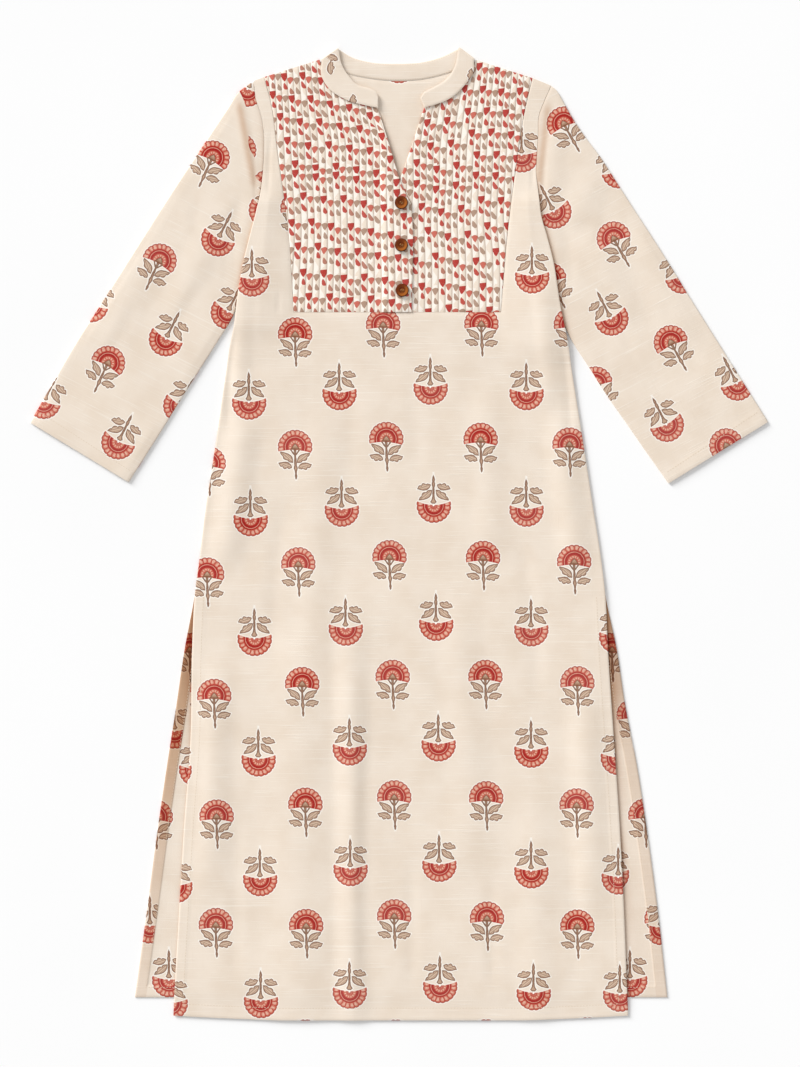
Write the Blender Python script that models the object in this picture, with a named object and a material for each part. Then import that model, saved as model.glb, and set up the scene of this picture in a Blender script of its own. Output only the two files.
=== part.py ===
"""A cotton kurta tunic laid flat, front up: a long tunic with a pintucked bib, a band collar,
three-quarter sleeves, side slits and three buttons.

The frame: +X runs across the garment to the viewer's right, +Y runs from the hem to the collar, and
+Z points off the surface that the garment lies on. The origin is under the middle of its outline.
Sizes below are in millimetres, and `build_mesh` turns them into metres.

Every piece of cloth is a closed wall: a grid of points on its outer face, the same grid on its inner
face, and a rim between them along the piece's edges. Pieces that are sewn together stay SEAM apart.
"""

import math
from collections import namedtuple

import bmesh
import bpy
import numpy as np

# ---------------------------------------------------------------- driving sizes, in millimetres
CLOTH = 1.2  # wall of the panels and sleeves
BAND = 1.4  # wall of the collar, which is cloth folded over a stiffener
SEAM = 0.3  # gap between pieces that are sewn together
FRONT_Z = CLOTH + SEAM  # where the front layer starts, over the back one
HEM_STEP = 0.5  # how far a turned hem stands above the back panel
HEM_WIDTH = 14.0
FRONT_HEM_STEP = 0.3  # how far the front's own hems show through it, turned under as they are
CUFF_ROWS = 2  # the last rows of a sleeve are its turned hem
TUCK = 0.7  # height of a pintuck
TUCKS_LEFT = 18
TUCKS_RIGHT = 17
UNDERLAP_TUCKS = 4  # tucks of the right half that run under the placket, where they lie flat
PLACKET_LIFT = 1.7  # how far the placket rides up on the underlap
SLEEVE_LIFT = CLOTH + FRONT_Z + SEAM  # the body's sides lie over the sleeves' underarm folds
BUTTON_RADIUS = 8.35
BUTTON_THICK = 3.0
BUTTON_XY = ((3.0, 419.0), (3.0, 365.5), (4.0, 308.5))
MM = 0.001

# ---------------------------------------------------------------- the cut, as tables
# Both body panels share these rows, so they lie on each other without touching. A row gives the
# height y, the body's left and right edge there, and how far each side is lifted over its sleeve
# (0 to 1). The rows down to the underarm follow the armholes, and the rest follow the sides.
BodyRow = namedtuple("BodyRow", "y left right lift_left lift_right")
BODY = [
    BodyRow(551, -181.0, 184.6, 0.0, 0.0),
    BodyRow(529, -174.0, 176.4, 0.0, 0.0),
    BodyRow(506, -170.5, 175.5, 0.0, 0.0),
    BodyRow(483, -170.3, 174.2, 0.0, 0.0),
    BodyRow(458, -171.7, 173.1, 0.0, 0.0),
    BodyRow(435, -174.3, 175.6, 0.4, 0.4),
    BodyRow(420, -177.2, 177.3, 1.0, 1.0),
    BodyRow(406, -180.7, 178.8, 1.0, 1.0),
    BodyRow(375, -188.8, 187.2, 1.0, 1.0),
    BodyRow(341, -197.1, 195.6, 1.0, 1.0),
    BodyRow(309, -202.6, 200.5, 1.0, 1.0),
    BodyRow(281, -206.1, 205.1, 1.0, 1.0),
    BodyRow(264, -208.2, 208.9, 1.0, 1.0),
    BodyRow(240, -213.2, 213.5, 0.4, 1.0),
    BodyRow(211, -217.5, 217.6, 0.0, 0.3),
    BodyRow(158, -225.1, 225.9, 0.0, 0.0),
    BodyRow(95, -234.5, 235.8, 0.0, 0.0),
    BodyRow(32, -244.1, 245.4, 0.0, 0.0),
    BodyRow(-32, -252.0, 255.3, 0.0, 0.0),
    BodyRow(-72, -257.2, 260.0, 0.0, 0.0),
]
UNDERARM_ROW = 6  # the armhole ends at this row of BODY
YOKE_ROW = 11  # the bib ends at this row of BODY

# Shoulder points: where the armholes start, where the bib starts, and where the neck starts.
ARMHOLE_TOP = ((-183.0, 573.0), (192.0, 567.0))
YOKE_TOP = ((-170.3, 577.8), (168.7, 576.5))
NECK_TOP = ((-101.3, 599.5), (98.4, 599.2))

# Below the side slits the two panels part: the back one is wider and shorter.
SkirtRow = namedtuple("SkirtRow", "y left right")
FRONT_SKIRT = [
    SkirtRow(-145, -261.0, 263.7),
    SkirtRow(-255, -263.0, 271.0),
    SkirtRow(-370, -271.3, 278.7),
    SkirtRow(-480, -277.7, 284.2),
    SkirtRow(-560, -282.4, 287.3),
    SkirtRow(-586, -283.7, 288.4),
    SkirtRow(-598, -284.4, 289.0),
    SkirtRow(-606.5, -284.7, 289.3),
]
BACK_SKIRT = [
    SkirtRow(-145, -270.7, 275.0),
    SkirtRow(-215, -281.0, 285.6),
    SkirtRow(-290, -292.7, 300.2),
    SkirtRow(-370, -304.4, 312.6),
    SkirtRow(-480, -319.0, 327.4),
    SkirtRow(-568.5, -331.5, 337.0),
    SkirtRow(-570, -331.7, 337.2),
    SkirtRow(-583.5, -333.4, 338.8),
]
HEM_SAG = 0.9  # the front hem sinks this much past the back one
FRONT_HEM_DIP = 6.0  # the front hem hangs this much lower in its middle than at the slits

# The bib's two outer edges, the placket's edge, and the edge of the underlap. The last two run up the
# sides of the neck's V. Each is y, x, from the bib's lower seam upward.
YOKE_LEFT_EDGE = [(281, -133.0), (375, -139.0), (483, -153.3), (551, -162.8), (577.8, -170.3)]
YOKE_RIGHT_EDGE = [(281, 128.7), (375, 136.6), (483, 150.6), (551, 162.2), (576.5, 168.7)]
PLACKET_EDGE = [(281, 16.0), (406, 16.0), (420, 14.5), (435, 6.5), (483, -9.3), (540, -27.0), (600, -46.0)]
UNDERLAP_EDGE = [(281, -11.4), (406, -11.4), (420, -9.5), (435, -4.0), (483, 13.4), (540, 32.0), (600, 52.0)]

# The neck seam: down the front to the V on each side, and across the back, each x, y.
NECK_FRONT_LEFT = [(-98.4, 582.0), (-89.7, 564.7), (-69.4, 550.2), (-40.5, 541.5), (-26.0, 538.7)]
NECK_FRONT_RIGHT = [(94.0, 584.0), (85.5, 570.5), (63.8, 550.2), (45.0, 542.5), (31.9, 538.7)]
NECK_BACK = [
    NECK_TOP[0], (-68.0, 583.0), (-34.0, 575.5), (0.0, 572.8), (34.0, 575.5), (67.5, 584.5), NECK_TOP[1],
]
NECK_UNDER = 1.5  # how far the bib runs under the collar

# The collar's free edge, round its rounded front ends, up to the turn at each shoulder, each x, y.
COLLAR_FREE_LEFT = [
    (-26.0, 552.0), (-29.5, 559.0), (-37.6, 563.3), (-52.1, 567.7), (-63.6, 579.2), (-72.3, 593.7),
]
COLLAR_FREE_RIGHT = [(27.0, 551.0), (31.0, 557.5), (43.5, 564.7), (58.0, 573.4), (69.6, 589.3)]
COLLAR_FREE_BACK = [(-61.3, 603.9), (-35.6, 596.7), (0.5, 594.9), (28.8, 596.7), (54.5, 603.9)]
# The line that the collar turns over on at each shoulder: its seam end and its free end.
COLLAR_TURN_LEFT = ((-97.5, 598.6), (-76.3, 613.4))
COLLAR_TURN_RIGHT = ((94.5, 598.7), (74.8, 613.6))
COLLAR_BACK_Z = BAND / 2
COLLAR_FRONT_Z = FRONT_Z + CLOTH + TUCK + SEAM + BAND / 2

# The sleeves, from the armhole to the cuff. A row gives the outer fold and the underarm fold.
SleeveRow = namedtuple("SleeveRow", "outer_x outer_y inner_x inner_y")
SLEEVE_LEFT = [
    SleeveRow(-183.0, 573.0, -177.5, 420.0),
    SleeveRow(-191.8, 567.1, -181.4, 406.0),
    SleeveRow(-202.0, 559.4, -179.8, 389.8),
    SleeveRow(-215.7, 538.7, -180.4, 370.9),
    SleeveRow(-234.7, 510.3, -184.2, 350.7),
    SleeveRow(-256.1, 478.1, -189.9, 330.5),
    SleeveRow(-276.3, 447.9, -198.1, 309.1),
    SleeveRow(-297.7, 415.1, -209.5, 276.3),
    SleeveRow(-325.5, 371.3, -228.3, 245.4),
    SleeveRow(-354.5, 325.5, -251.1, 209.4),
    SleeveRow(-382.3, 281.8, -275.0, 171.6),
    SleeveRow(-410.0, 238.4, -297.7, 135.0),
    SleeveRow(-437.8, 190.5, -319.2, 100.9),
    SleeveRow(-458.0, 155.2, -335.0, 76.3),
    SleeveRow(-465.5, 142.0, -341.0, 66.6),
]
SLEEVE_RIGHT = [
    SleeveRow(192.0, 567.0, 177.9, 420.0),
    SleeveRow(198.7, 561.4, 179.5, 406.0),
    SleeveRow(206.9, 547.5, 177.3, 388.6),
    SleeveRow(218.3, 527.3, 178.5, 368.4),
    SleeveRow(233.4, 504.6, 182.9, 346.9),
    SleeveRow(253.3, 478.1, 188.6, 324.2),
    SleeveRow(273.8, 446.6, 196.2, 299.0),
    SleeveRow(294.0, 415.1, 205.0, 273.8),
    SleeveRow(317.9, 378.5, 217.0, 247.3),
    SleeveRow(343.2, 338.7, 238.4, 213.8),
    SleeveRow(368.4, 297.7, 261.2, 177.9),
    SleeveRow(394.9, 255.5, 285.1, 143.8),
    SleeveRow(423.9, 209.4, 310.4, 107.2),
    SleeveRow(456.1, 158.3, 332.4, 76.1),
    SleeveRow(465.9, 142.8, 340.0, 65.1),
]

# The largest folds, as soft ridges in the layer that shows: from one end to the other, with the
# distance at which the ridge has died away and its height.
Fold = namedtuple("Fold", "x0 y0 x1 y1 width height")
FRONT_FOLDS = [
    Fold(-61, -60, -58, -690, 28, 3.0),
    Fold(-122, -60, -126, -690, 62, 2.0),
    Fold(-194, 340, -202, 150, 18, 1.1),
    Fold(-192, 170, -222, -60, 30, 2.6),
    Fold(182, 350, 192, 150, 20, 1.2),
    Fold(200, 170, 228, -60, 30, 2.6),
    Fold(-228, -130, -240, -470, 30, 2.2),
    Fold(232, -160, 244, -520, 30, 2.2),
    Fold(70, -40, 98, -440, 36, 1.4),
    Fold(-96, 190, -120, -240, 36, 1.2),
    Fold(108, 210, 120, -40, 30, 1.2),
    Fold(170, -300, 176, -660, 34, 1.3),
]
SLEEVE_LEFT_FOLDS = [
    Fold(-202, 562, -189, 412, 15, 2.4),
    Fold(-226, 400, -292, 262, 28, 1.0),
    Fold(-300, 380, -382, 214, 32, 0.9),
    Fold(-250, 470, -214, 392, 28, 0.8),
]
SLEEVE_RIGHT_FOLDS = [
    Fold(199, 524, 192, 420, 20, 0.7),
    Fold(230, 392, 300, 256, 28, 1.1),
    Fold(296, 390, 372, 226, 32, 0.9),
    Fold(252, 462, 214, 384, 28, 0.8),
]


# ---------------------------------------------------------------- shared shape functions
def fall(table, y):
    """The x of an edge at height y, from a table of y, x that rises, with straight runs between rows."""
    return np.interp(y, [row[0] for row in table], [row[1] for row in table])


def smooth(x, start, end):
    """0 at start, 1 at end, and a soft S between them."""
    t = np.clip((x - start) / (end - start), 0, 1)
    return t * t * (3 - 2 * t)


def fold_height(folds, x, y):
    """The height that the folds give a layer at each point: a soft ridge that tapers at both ends."""
    total = np.zeros(np.shape(x))
    for f in folds:
        run_x, run_y = f.x1 - f.x0, f.y1 - f.y0
        length = math.hypot(run_x, run_y)
        along = ((x - f.x0) * run_x + (y - f.y0) * run_y) / length**2
        aside = np.abs((x - f.x0) * run_y - (y - f.y0) * run_x) / length
        end = smooth(along, 0, 0.25) * smooth(along, 1, 0.75)
        total = total + f.height * end * smooth(aside, f.width, 0)
    return total


def spaced(points, count):
    """A line through the points again, as `count` points at equal steps along it."""
    points = np.array(points, float)
    along = np.concatenate([[0], np.cumsum(np.linalg.norm(np.diff(points, axis=0), axis=1))])
    at = np.linspace(0, along[-1], count)
    return np.stack([np.interp(at, along, points[:, k]) for k in range(points.shape[1])], axis=1)


# ---------------------------------------------------------------- walls
def wall(outer, inner, cells=None, tube=False):
    """Points and triangles of a closed wall between two grids of points, rows by columns.

    `cells` says which cells of the grid hold cloth, and all do when it is None. A tube's last column
    joins its first one. The rim closes the wall along every edge that only one cell has.
    """
    rows, columns = outer.shape[:2]
    wide = columns if tube else columns - 1
    if cells is None:
        cells = np.ones((rows - 1, wide), bool)
    number = np.arange(rows * columns).reshape(rows, columns)
    inside = rows * columns
    triangles, edges = [], {}
    for r, c in zip(*np.nonzero(cells)):
        after = (c + 1) % columns
        corners = [number[r, c], number[r, after], number[r + 1, after], number[r + 1, c]]
        for a, b, d in ((0, 1, 2), (0, 2, 3)):
            triangles.append((corners[a], corners[b], corners[d]))
            triangles.append((corners[b] + inside, corners[a] + inside, corners[d] + inside))
        for a, b in zip(corners, corners[1:] + corners[:1]):
            edges[a, b] = True
    for a, b in edges:
        if (b, a) not in edges:
            triangles.append((b, a, a + inside))
            triangles.append((b, a + inside, b + inside))
    points = np.concatenate([outer.reshape(-1, 3), inner.reshape(-1, 3)])
    used, triangles = np.unique(np.array(triangles), return_inverse=True)
    return points[used], triangles.reshape(-1, 3)


def build_mesh(name, points, faces, material, round_shape=False):
    """One named object from points in millimetres and its faces, with the faces turned outward."""
    mesh = bpy.data.meshes.new(name)
    mesh.from_pydata([tuple(p) for p in points * MM], [], [tuple(int(i) for i in f) for f in faces])
    shape = bmesh.new()
    shape.from_mesh(mesh)
    bmesh.ops.recalc_face_normals(shape, faces=shape.faces)
    shape.to_mesh(mesh)
    shape.free()
    if round_shape:
        mesh.shade_smooth()
        mesh.set_sharp_from_angle(angle=math.radians(40))
    mesh.materials.append(material)
    piece = bpy.data.objects.new(name, mesh)
    bpy.context.scene.collection.objects.link(piece)
    return piece


def panel(name, x, y, under, over, material, cells=None):
    """A flat piece: grids of x and y, with the heights of its lower and upper face."""
    outer = np.stack([x, y, over], axis=-1)
    inner = np.stack([x, y, under], axis=-1)
    return build_mesh(name, *wall(outer, inner, cells), material)


# ---------------------------------------------------------------- the body panels
SIDE_COLUMNS = (0.25, 0.40, 0.60, 0.80, 1.0)  # shares of a side strip, past its two hem columns
HEM_DIP_SHAPE = 5.6  # the hem dips fully over its middle, and less within a quarter of each end
LIFTED_SHARE = 0.4  # this share of a side strip lies flat on top of the sleeve
HEM_SHARES = (0.10, 0.14)  # the hem columns' shares where a side strip is narrow
FRONT_SPLITS = 2  # the front's folds need finer columns than the back


def side_shares(width):
    """Where the columns of a side strip lie, as shares of its width, from its free edge inward."""
    hem = [min(at / width, share) for at, share in zip((HEM_WIDTH, HEM_WIDTH + 1.5), HEM_SHARES)]
    return np.array([0.0, *hem, *SIDE_COLUMNS])


def body_grid(skirt, hem_dip, splits=1):
    """x, y and lift of a body panel's grid, from the shoulders down to its hem.

    A row runs from the left edge to the bib's left edge, across the bib's width, and from the bib's
    right edge to the right edge. The first row is the shoulders and the back of the neck. `splits`
    is the number of columns between two points of that line across the bib's width.
    """
    line = np.array([YOKE_TOP[0], *NECK_BACK, YOKE_TOP[1]])
    share = (line[:, 0] - line[0, 0]) / (line[-1, 0] - line[0, 0])
    at = np.linspace(0, len(line) - 1, (len(line) - 1) * splits + 1)
    middle = np.interp(at, range(len(line)), share)[1:-1]
    top_y = np.interp(at, range(len(line)), line[:, 1])[1:-1]

    def row(left, yoke_left, yoke_right, right):
        strip_left = side_shares(yoke_left - left)
        strip_right = side_shares(right - yoke_right)[::-1]
        return np.concatenate([
            left + strip_left * (yoke_left - left),
            yoke_left + middle * (yoke_right - yoke_left),
            right - strip_right * (right - yoke_right),
        ])

    shares_left = side_shares(YOKE_TOP[0][0] - ARMHOLE_TOP[0][0])
    shares_right = side_shares(ARMHOLE_TOP[1][0] - YOKE_TOP[1][0])[::-1]
    x = [row(ARMHOLE_TOP[0][0], YOKE_TOP[0][0], YOKE_TOP[1][0], ARMHOLE_TOP[1][0])]
    y = [np.concatenate([
        ARMHOLE_TOP[0][1] + shares_left * (YOKE_TOP[0][1] - ARMHOLE_TOP[0][1]),
        top_y,
        ARMHOLE_TOP[1][1] + shares_right * (YOKE_TOP[1][1] - ARMHOLE_TOP[1][1]),
    ])]
    lift = [np.zeros(len(x[0]))]
    for at in BODY:
        yoke_left, yoke_right = fall(YOKE_LEFT_EDGE, at.y), fall(YOKE_RIGHT_EDGE, at.y)
        x.append(row(at.left, yoke_left, yoke_right, at.right))
        y.append(np.full(len(x[0]), float(at.y)))
        rise_left = np.clip((1 - side_shares(yoke_left - at.left)) / (1 - LIFTED_SHARE), 0, 1)
        rise_right = np.clip((1 - side_shares(at.right - yoke_right)[::-1]) / (1 - LIFTED_SHARE), 0, 1)
        lift.append(SLEEVE_LIFT * np.concatenate([
            at.lift_left * rise_left,
            np.zeros(len(middle)),
            at.lift_right * rise_right,
        ]))
    for at in skirt:
        x.append(row(at.left, YOKE_LEFT_EDGE[0][1], YOKE_RIGHT_EDGE[0][1], at.right))
        y.append(np.full(len(x[0]), float(at.y)))
        lift.append(np.zeros(len(x[0])))
    across = (x[-1] - x[-1][0]) / (x[-1][-1] - x[-1][0])
    y[-1] = y[-1] - hem_dip * np.clip(HEM_DIP_SHAPE * across * (1 - across), 0, 1)
    return np.array(x), np.array(y), np.array(lift)


def hem_step(x, height):
    """How far a body panel's turned hems stand up, down its slits and along its lower edge."""
    step = np.zeros(x.shape)
    slit = len(BODY) + 1
    step[slit:, :2] = height
    step[slit:, -2:] = height
    step[-2:, :] = height
    return step


def back_panel(material):
    """The back: flat on the surface, with its turned hems standing up round the slits and the hem."""
    x, y, lift = body_grid(BACK_SKIRT, 0)
    return panel("back_panel", x, y, lift, lift + CLOTH + hem_step(x, HEM_STEP), material)


def front_base(y):
    """Where the front panel's lower face lies: clear of the back's hems, and a little lower past them."""
    return FRONT_Z + HEM_STEP * smooth(y, -32, -72) - HEM_SAG * smooth(y, -575, -606)


def front_panel(material):
    """The front: its side strips reach up to the shoulders on both sides of the bib."""
    x, y, lift = body_grid(FRONT_SKIRT, FRONT_HEM_DIP, FRONT_SPLITS)
    cells = np.ones((x.shape[0] - 1, x.shape[1] - 1), bool)
    side = 2 + len(SIDE_COLUMNS)
    cells[: YOKE_ROW + 1, side:-side] = False
    under = front_base(y) + lift + fold_height(FRONT_FOLDS, x, y)
    return panel("front_panel", x, y, under, under + CLOTH + hem_step(x, FRONT_HEM_STEP), material, cells)


# ---------------------------------------------------------------- the pintucked bib
TUCK_PROFILE = ((0.0, 0.0), (0.2, 0.4), (0.85, 1.0))  # place across a tuck, and share of its height
YOKE_LEVELS = (281, 328, 375, 406, 420, 435, 483)
UPPER_SHARES = ((551 - 483) / (577.8 - 483), 1.0)  # rows between the last level and the top edge
TOP_ROOM = 1.0  # how far the bib goes above its neckline, under the collar
TOP_ROUNDS = 60  # steps that bring each column's end to the top edge, each one halving what is left


def yoke_top(x, shoulder, neck):
    """The height of a bib half's top edge at x: its shoulder, and its neckline under the collar."""
    (outer_x, outer_y), (neck_x, neck_y) = shoulder
    line = outer_y + (x - outer_x) * (neck_y - outer_y) / (neck_x - outer_x)
    toward = math.copysign(NECK_UNDER, -neck_x)
    curve = sorted([(neck_x, neck_y + TOP_ROOM), *neck])
    return np.minimum(line, np.interp(x - toward, [p[0] for p in curve], [p[1] for p in curve]) + TOP_ROOM)


def yoke_grid(tucks, left_edge, right_edge, shoulder, neck):
    """x and y of a bib half, a column for each point of each tuck, and each column's tuck height."""
    share = np.array([(t + at) / tucks for t in range(tucks) for at, _ in TUCK_PROFILE] + [1.0])
    height = np.array([rise for _ in range(tucks) for _, rise in TUCK_PROFILE] + [0.0])
    top = np.full(len(share), float(shoulder[0][1]))
    for _ in range(TOP_ROUNDS):
        at = fall(left_edge, top) + share * (fall(right_edge, top) - fall(left_edge, top))
        top = (top + yoke_top(at, shoulder, neck)) / 2
    last = YOKE_LEVELS[-1]
    rows = [np.full(len(share), float(level)) for level in YOKE_LEVELS]
    rows += [last + part * (top - last) for part in UPPER_SHARES]
    rows[0] = rows[0] + SEAM
    y = np.array(rows)
    x = fall(left_edge, y) + share * (fall(right_edge, y) - fall(left_edge, y))
    return x, y, np.broadcast_to(height, x.shape).copy()


def yoke_left(material):
    """The half whose placket laps over the other half and carries the buttons."""
    left = [(y, x + SEAM) for y, x in YOKE_LEFT_EDGE]
    x, y, tuck = yoke_grid(TUCKS_LEFT, left, PLACKET_EDGE, (YOKE_TOP[0], NECK_TOP[0]), NECK_FRONT_LEFT)
    under = FRONT_Z + PLACKET_LIFT * smooth(x, -27, -15)
    return panel("yoke_left", x, y, under, under + CLOTH + TUCK * tuck, material)


def yoke_right(material):
    """The half with the underlap, whose first tucks lie flat where the placket covers them."""
    right = [(y, x - SEAM) for y, x in YOKE_RIGHT_EDGE]
    x, y, tuck = yoke_grid(TUCKS_RIGHT, UNDERLAP_EDGE, right, (YOKE_TOP[1], NECK_TOP[1]), NECK_FRONT_RIGHT)
    covered = UNDERLAP_TUCKS * len(TUCK_PROFILE)
    tuck[:, :covered] *= smooth(y[:, :covered], 435, 483)
    under = np.full(x.shape, FRONT_Z)
    return panel("yoke_right", x, y, under, under + CLOTH + TUCK * tuck, material)


# ---------------------------------------------------------------- the collar
COLLAR_ACROSS = 4  # cells between its seam and its free edge
COLLAR_FRONT_STEPS = 14
COLLAR_BACK_STEPS = 13
TURN_STEPS = 6


def strip(seam, free, count, z):
    """A flat stretch of the collar's middle surface: stations along it by points across it."""
    a, b = spaced(seam, count), spaced(free, count)
    across = np.linspace(0, 1, COLLAR_ACROSS + 1)[None, :, None]
    flat = a[:, None] + across * (b - a)[:, None]
    return np.concatenate([flat, np.full(flat.shape[:2] + (1,), z)], axis=2)


def turn(line, outward, down):
    """The half turn over a shoulder, without its two end stations: an arc about the fold line."""
    radius = (COLLAR_FRONT_Z - COLLAR_BACK_Z) / 2
    middle = (COLLAR_FRONT_Z + COLLAR_BACK_Z) / 2
    a, b = np.array(line)
    across = np.linspace(0, 1, COLLAR_ACROSS + 1)[:, None]
    points = a + across * (b - a)
    stations = []
    for step in range(1, TURN_STEPS):
        angle = math.pi * step / TURN_STEPS
        z = middle + radius * math.cos(angle) * (1 if down else -1)
        flat = points + np.array(outward) * radius * math.sin(angle)
        stations.append(np.concatenate([flat, np.full((len(flat), 1), z)], axis=1))
    return np.array(stations)


def outward_of(line):
    """The flat direction out of a shoulder's fold line, away from the neck and upward."""
    (ax, ay), (bx, by) = line
    length = math.hypot(bx - ax, by - ay)
    side = math.copysign(1, bx - ax)
    return (-side * (by - ay) / length, side * (bx - ax) / length)


def sheet_normals(points):
    """The unit normal at each point of a grid of points."""
    along, across = np.gradient(points, axis=0), np.gradient(points, axis=1)
    normal = np.cross(along, across)
    return normal / np.linalg.norm(normal, axis=2, keepdims=True)


def collar(material):
    """One band: left front, over the left shoulder, round the back, over the right one, right front."""
    seam_left = [*NECK_FRONT_LEFT[::-1], COLLAR_TURN_LEFT[0]]
    free_left = [*COLLAR_FREE_LEFT, COLLAR_TURN_LEFT[1]]
    seam_right = [*NECK_FRONT_RIGHT[::-1], COLLAR_TURN_RIGHT[0]]
    free_right = [*COLLAR_FREE_RIGHT, COLLAR_TURN_RIGHT[1]]
    neck = [(x, y + SEAM + 0.1) for x, y in NECK_BACK[1:-1]]
    seam_back = [COLLAR_TURN_LEFT[0], *neck, COLLAR_TURN_RIGHT[0]]
    free_back = [COLLAR_TURN_LEFT[1], *COLLAR_FREE_BACK, COLLAR_TURN_RIGHT[1]]
    middle = np.concatenate([
        strip(seam_left, free_left, COLLAR_FRONT_STEPS, COLLAR_FRONT_Z),
        turn(COLLAR_TURN_LEFT, outward_of(COLLAR_TURN_LEFT), True),
        strip(seam_back, free_back, COLLAR_BACK_STEPS, COLLAR_BACK_Z),
        turn(COLLAR_TURN_RIGHT, outward_of(COLLAR_TURN_RIGHT), False),
        strip(seam_right, free_right, COLLAR_FRONT_STEPS, COLLAR_FRONT_Z)[::-1],
    ])
    normal = sheet_normals(middle)
    flat = np.abs(normal[..., 2]) > 0.9
    normal[flat] = np.sign(normal[flat][:, 2:]) * np.array([0, 0, 1])
    half = BAND / 2
    return build_mesh("collar", *wall(middle + half * normal, middle - half * normal), material, True)


# ---------------------------------------------------------------- the sleeves
ARM_BLEND = 0.3  # the armhole's curve has straightened out by this share of the sleeve
FOLD_ANGLES = (45, 90, 135)  # points round each pressed fold, in degrees
SLEEVE_SPLITS = 2  # columns between two points of the armhole
ARMHOLE_GAP = SEAM + 0.05  # measured along X, so that it is SEAM across the slanting edge


def armhole(side):
    """The armhole's line from the shoulder to the underarm, through the points of the body's edge."""
    edge = [(row.left if side == 0 else row.right, row.y) for row in BODY[: UNDERARM_ROW + 1]]
    away = -ARMHOLE_GAP if side == 0 else ARMHOLE_GAP
    line = np.array([(x + away, y) for x, y in [ARMHOLE_TOP[side], *edge]])
    at = np.linspace(0, len(line) - 1, (len(line) - 1) * SLEEVE_SPLITS + 1)
    return np.stack([np.interp(at, range(len(line)), line[:, k]) for k in (0, 1)], axis=1)


def sleeve_lines(rows, side):
    """The front layer's points in plan: stations down the sleeve by points from fold to fold."""
    arm = armhole(side)
    length = np.concatenate([[0], np.cumsum(np.linalg.norm(np.diff(arm, axis=0), axis=1))])
    share = (length / length[-1])[None, :, None]
    outer = np.array([(r.outer_x, r.outer_y) for r in rows])
    inner = np.array([(r.inner_x, r.inner_y) for r in rows])
    outer[0], inner[0] = arm[0], arm[-1]
    down = np.concatenate([[0], np.cumsum(np.linalg.norm(np.diff(outer, axis=0), axis=1))])
    down = (down / down[-1])[:, None, None]
    bulge = arm - (arm[0] + share[0] * (arm[-1] - arm[0]))
    straight = outer[:, None] + share * (inner - outer)[:, None]
    return straight + bulge[None] * (1 - smooth(down, 0, ARM_BLEND))


def sleeve_rings(lines, rise, radius, folds, hem):
    """Rings of a flattened tube: the front layer, the underarm fold, the back layer, the outer fold.

    `radius` is half the tube's thickness on this face of its wall, `rise` its middle height, and
    `hem` how far the cuff's turned hem stands up on this face of the front layer.
    """
    start = lines[:, 1] - lines[:, 0]
    end = lines[:, -2] - lines[:, -1]
    start = start / np.linalg.norm(start, axis=1, keepdims=True)
    end = end / np.linalg.norm(end, axis=1, keepdims=True)
    centre_start = lines[:, 0] + start * rise
    centre_end = lines[:, -1] + end * rise
    flat = np.concatenate([centre_start[:, None], lines[:, 1:-1], centre_end[:, None]], axis=1)
    lift = fold_height(folds, flat[..., 0], flat[..., 1])
    lift[-CUFF_ROWS:] += hem
    lift[0] = 0
    lift[:, 0] = lift[:, -1] = 0
    front = np.dstack([flat, rise + radius + lift])
    back = np.dstack([flat, np.full(flat.shape[:2], rise - radius)])[:, ::-1]

    def fold(centre, inward, first_up):
        points = []
        for degrees in FOLD_ANGLES:
            angle = math.radians(degrees)
            out = centre - inward * radius * math.sin(angle)
            z = np.full((len(out), 1), rise + first_up * radius * math.cos(angle))
            points.append(np.concatenate([out, z], axis=1))
        return np.stack(points, axis=1)

    return np.concatenate([front, fold(centre_end, end, 1), back, fold(centre_start, start, -1)], axis=1)


def sleeve(name, rows, side, folds, material):
    """A pressed sleeve: two layers with a fold along each side, open at the armhole and the cuff."""
    lines = sleeve_lines(rows, side)
    rise = (FRONT_Z + CLOTH) / 2
    outer = sleeve_rings(lines, rise, rise, folds, FRONT_HEM_STEP)
    inner = sleeve_rings(lines, rise, rise - CLOTH, folds, 0)
    return build_mesh(name, *wall(outer, inner, tube=True), material)


# ---------------------------------------------------------------- the buttons
BUTTON_PROFILE = (  # share of the radius, and share of the thickness, from the middle of its face
    (0.0, 0.72), (0.55, 0.72), (0.68, 1.0), (0.88, 1.0), (1.0, 0.7), (1.0, 0.3), (0.9, 0.0), (0.0, 0.0),
)
BUTTON_SIDES = 24


def button(number, material):
    """A turned disc with a dished face, lying on the placket's tucks."""
    shape = bmesh.new()
    profile = [shape.verts.new((r * BUTTON_RADIUS * MM, 0, z * BUTTON_THICK * MM)) for r, z in BUTTON_PROFILE]
    line = [shape.edges.new(pair) for pair in zip(profile, profile[1:])]
    bmesh.ops.spin(
        shape, geom=profile + line, cent=(0, 0, 0), axis=(0, 0, 1), angle=2 * math.pi,
        steps=BUTTON_SIDES, use_merge=True,
    )
    bmesh.ops.remove_doubles(shape, verts=shape.verts, dist=1e-6)
    bmesh.ops.recalc_face_normals(shape, faces=shape.faces)
    name = f"button_{number + 1}"
    mesh = bpy.data.meshes.new(name)
    shape.to_mesh(mesh)
    shape.free()
    mesh.shade_smooth()
    mesh.set_sharp_from_angle(angle=math.radians(40))
    mesh.materials.append(material)
    piece = bpy.data.objects.new(name, mesh)
    x, y = BUTTON_XY[number]
    piece.location = (x * MM, y * MM, (FRONT_Z + PLACKET_LIFT + CLOTH + TUCK + SEAM) * MM)
    bpy.context.scene.collection.objects.link(piece)
    return piece


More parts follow.
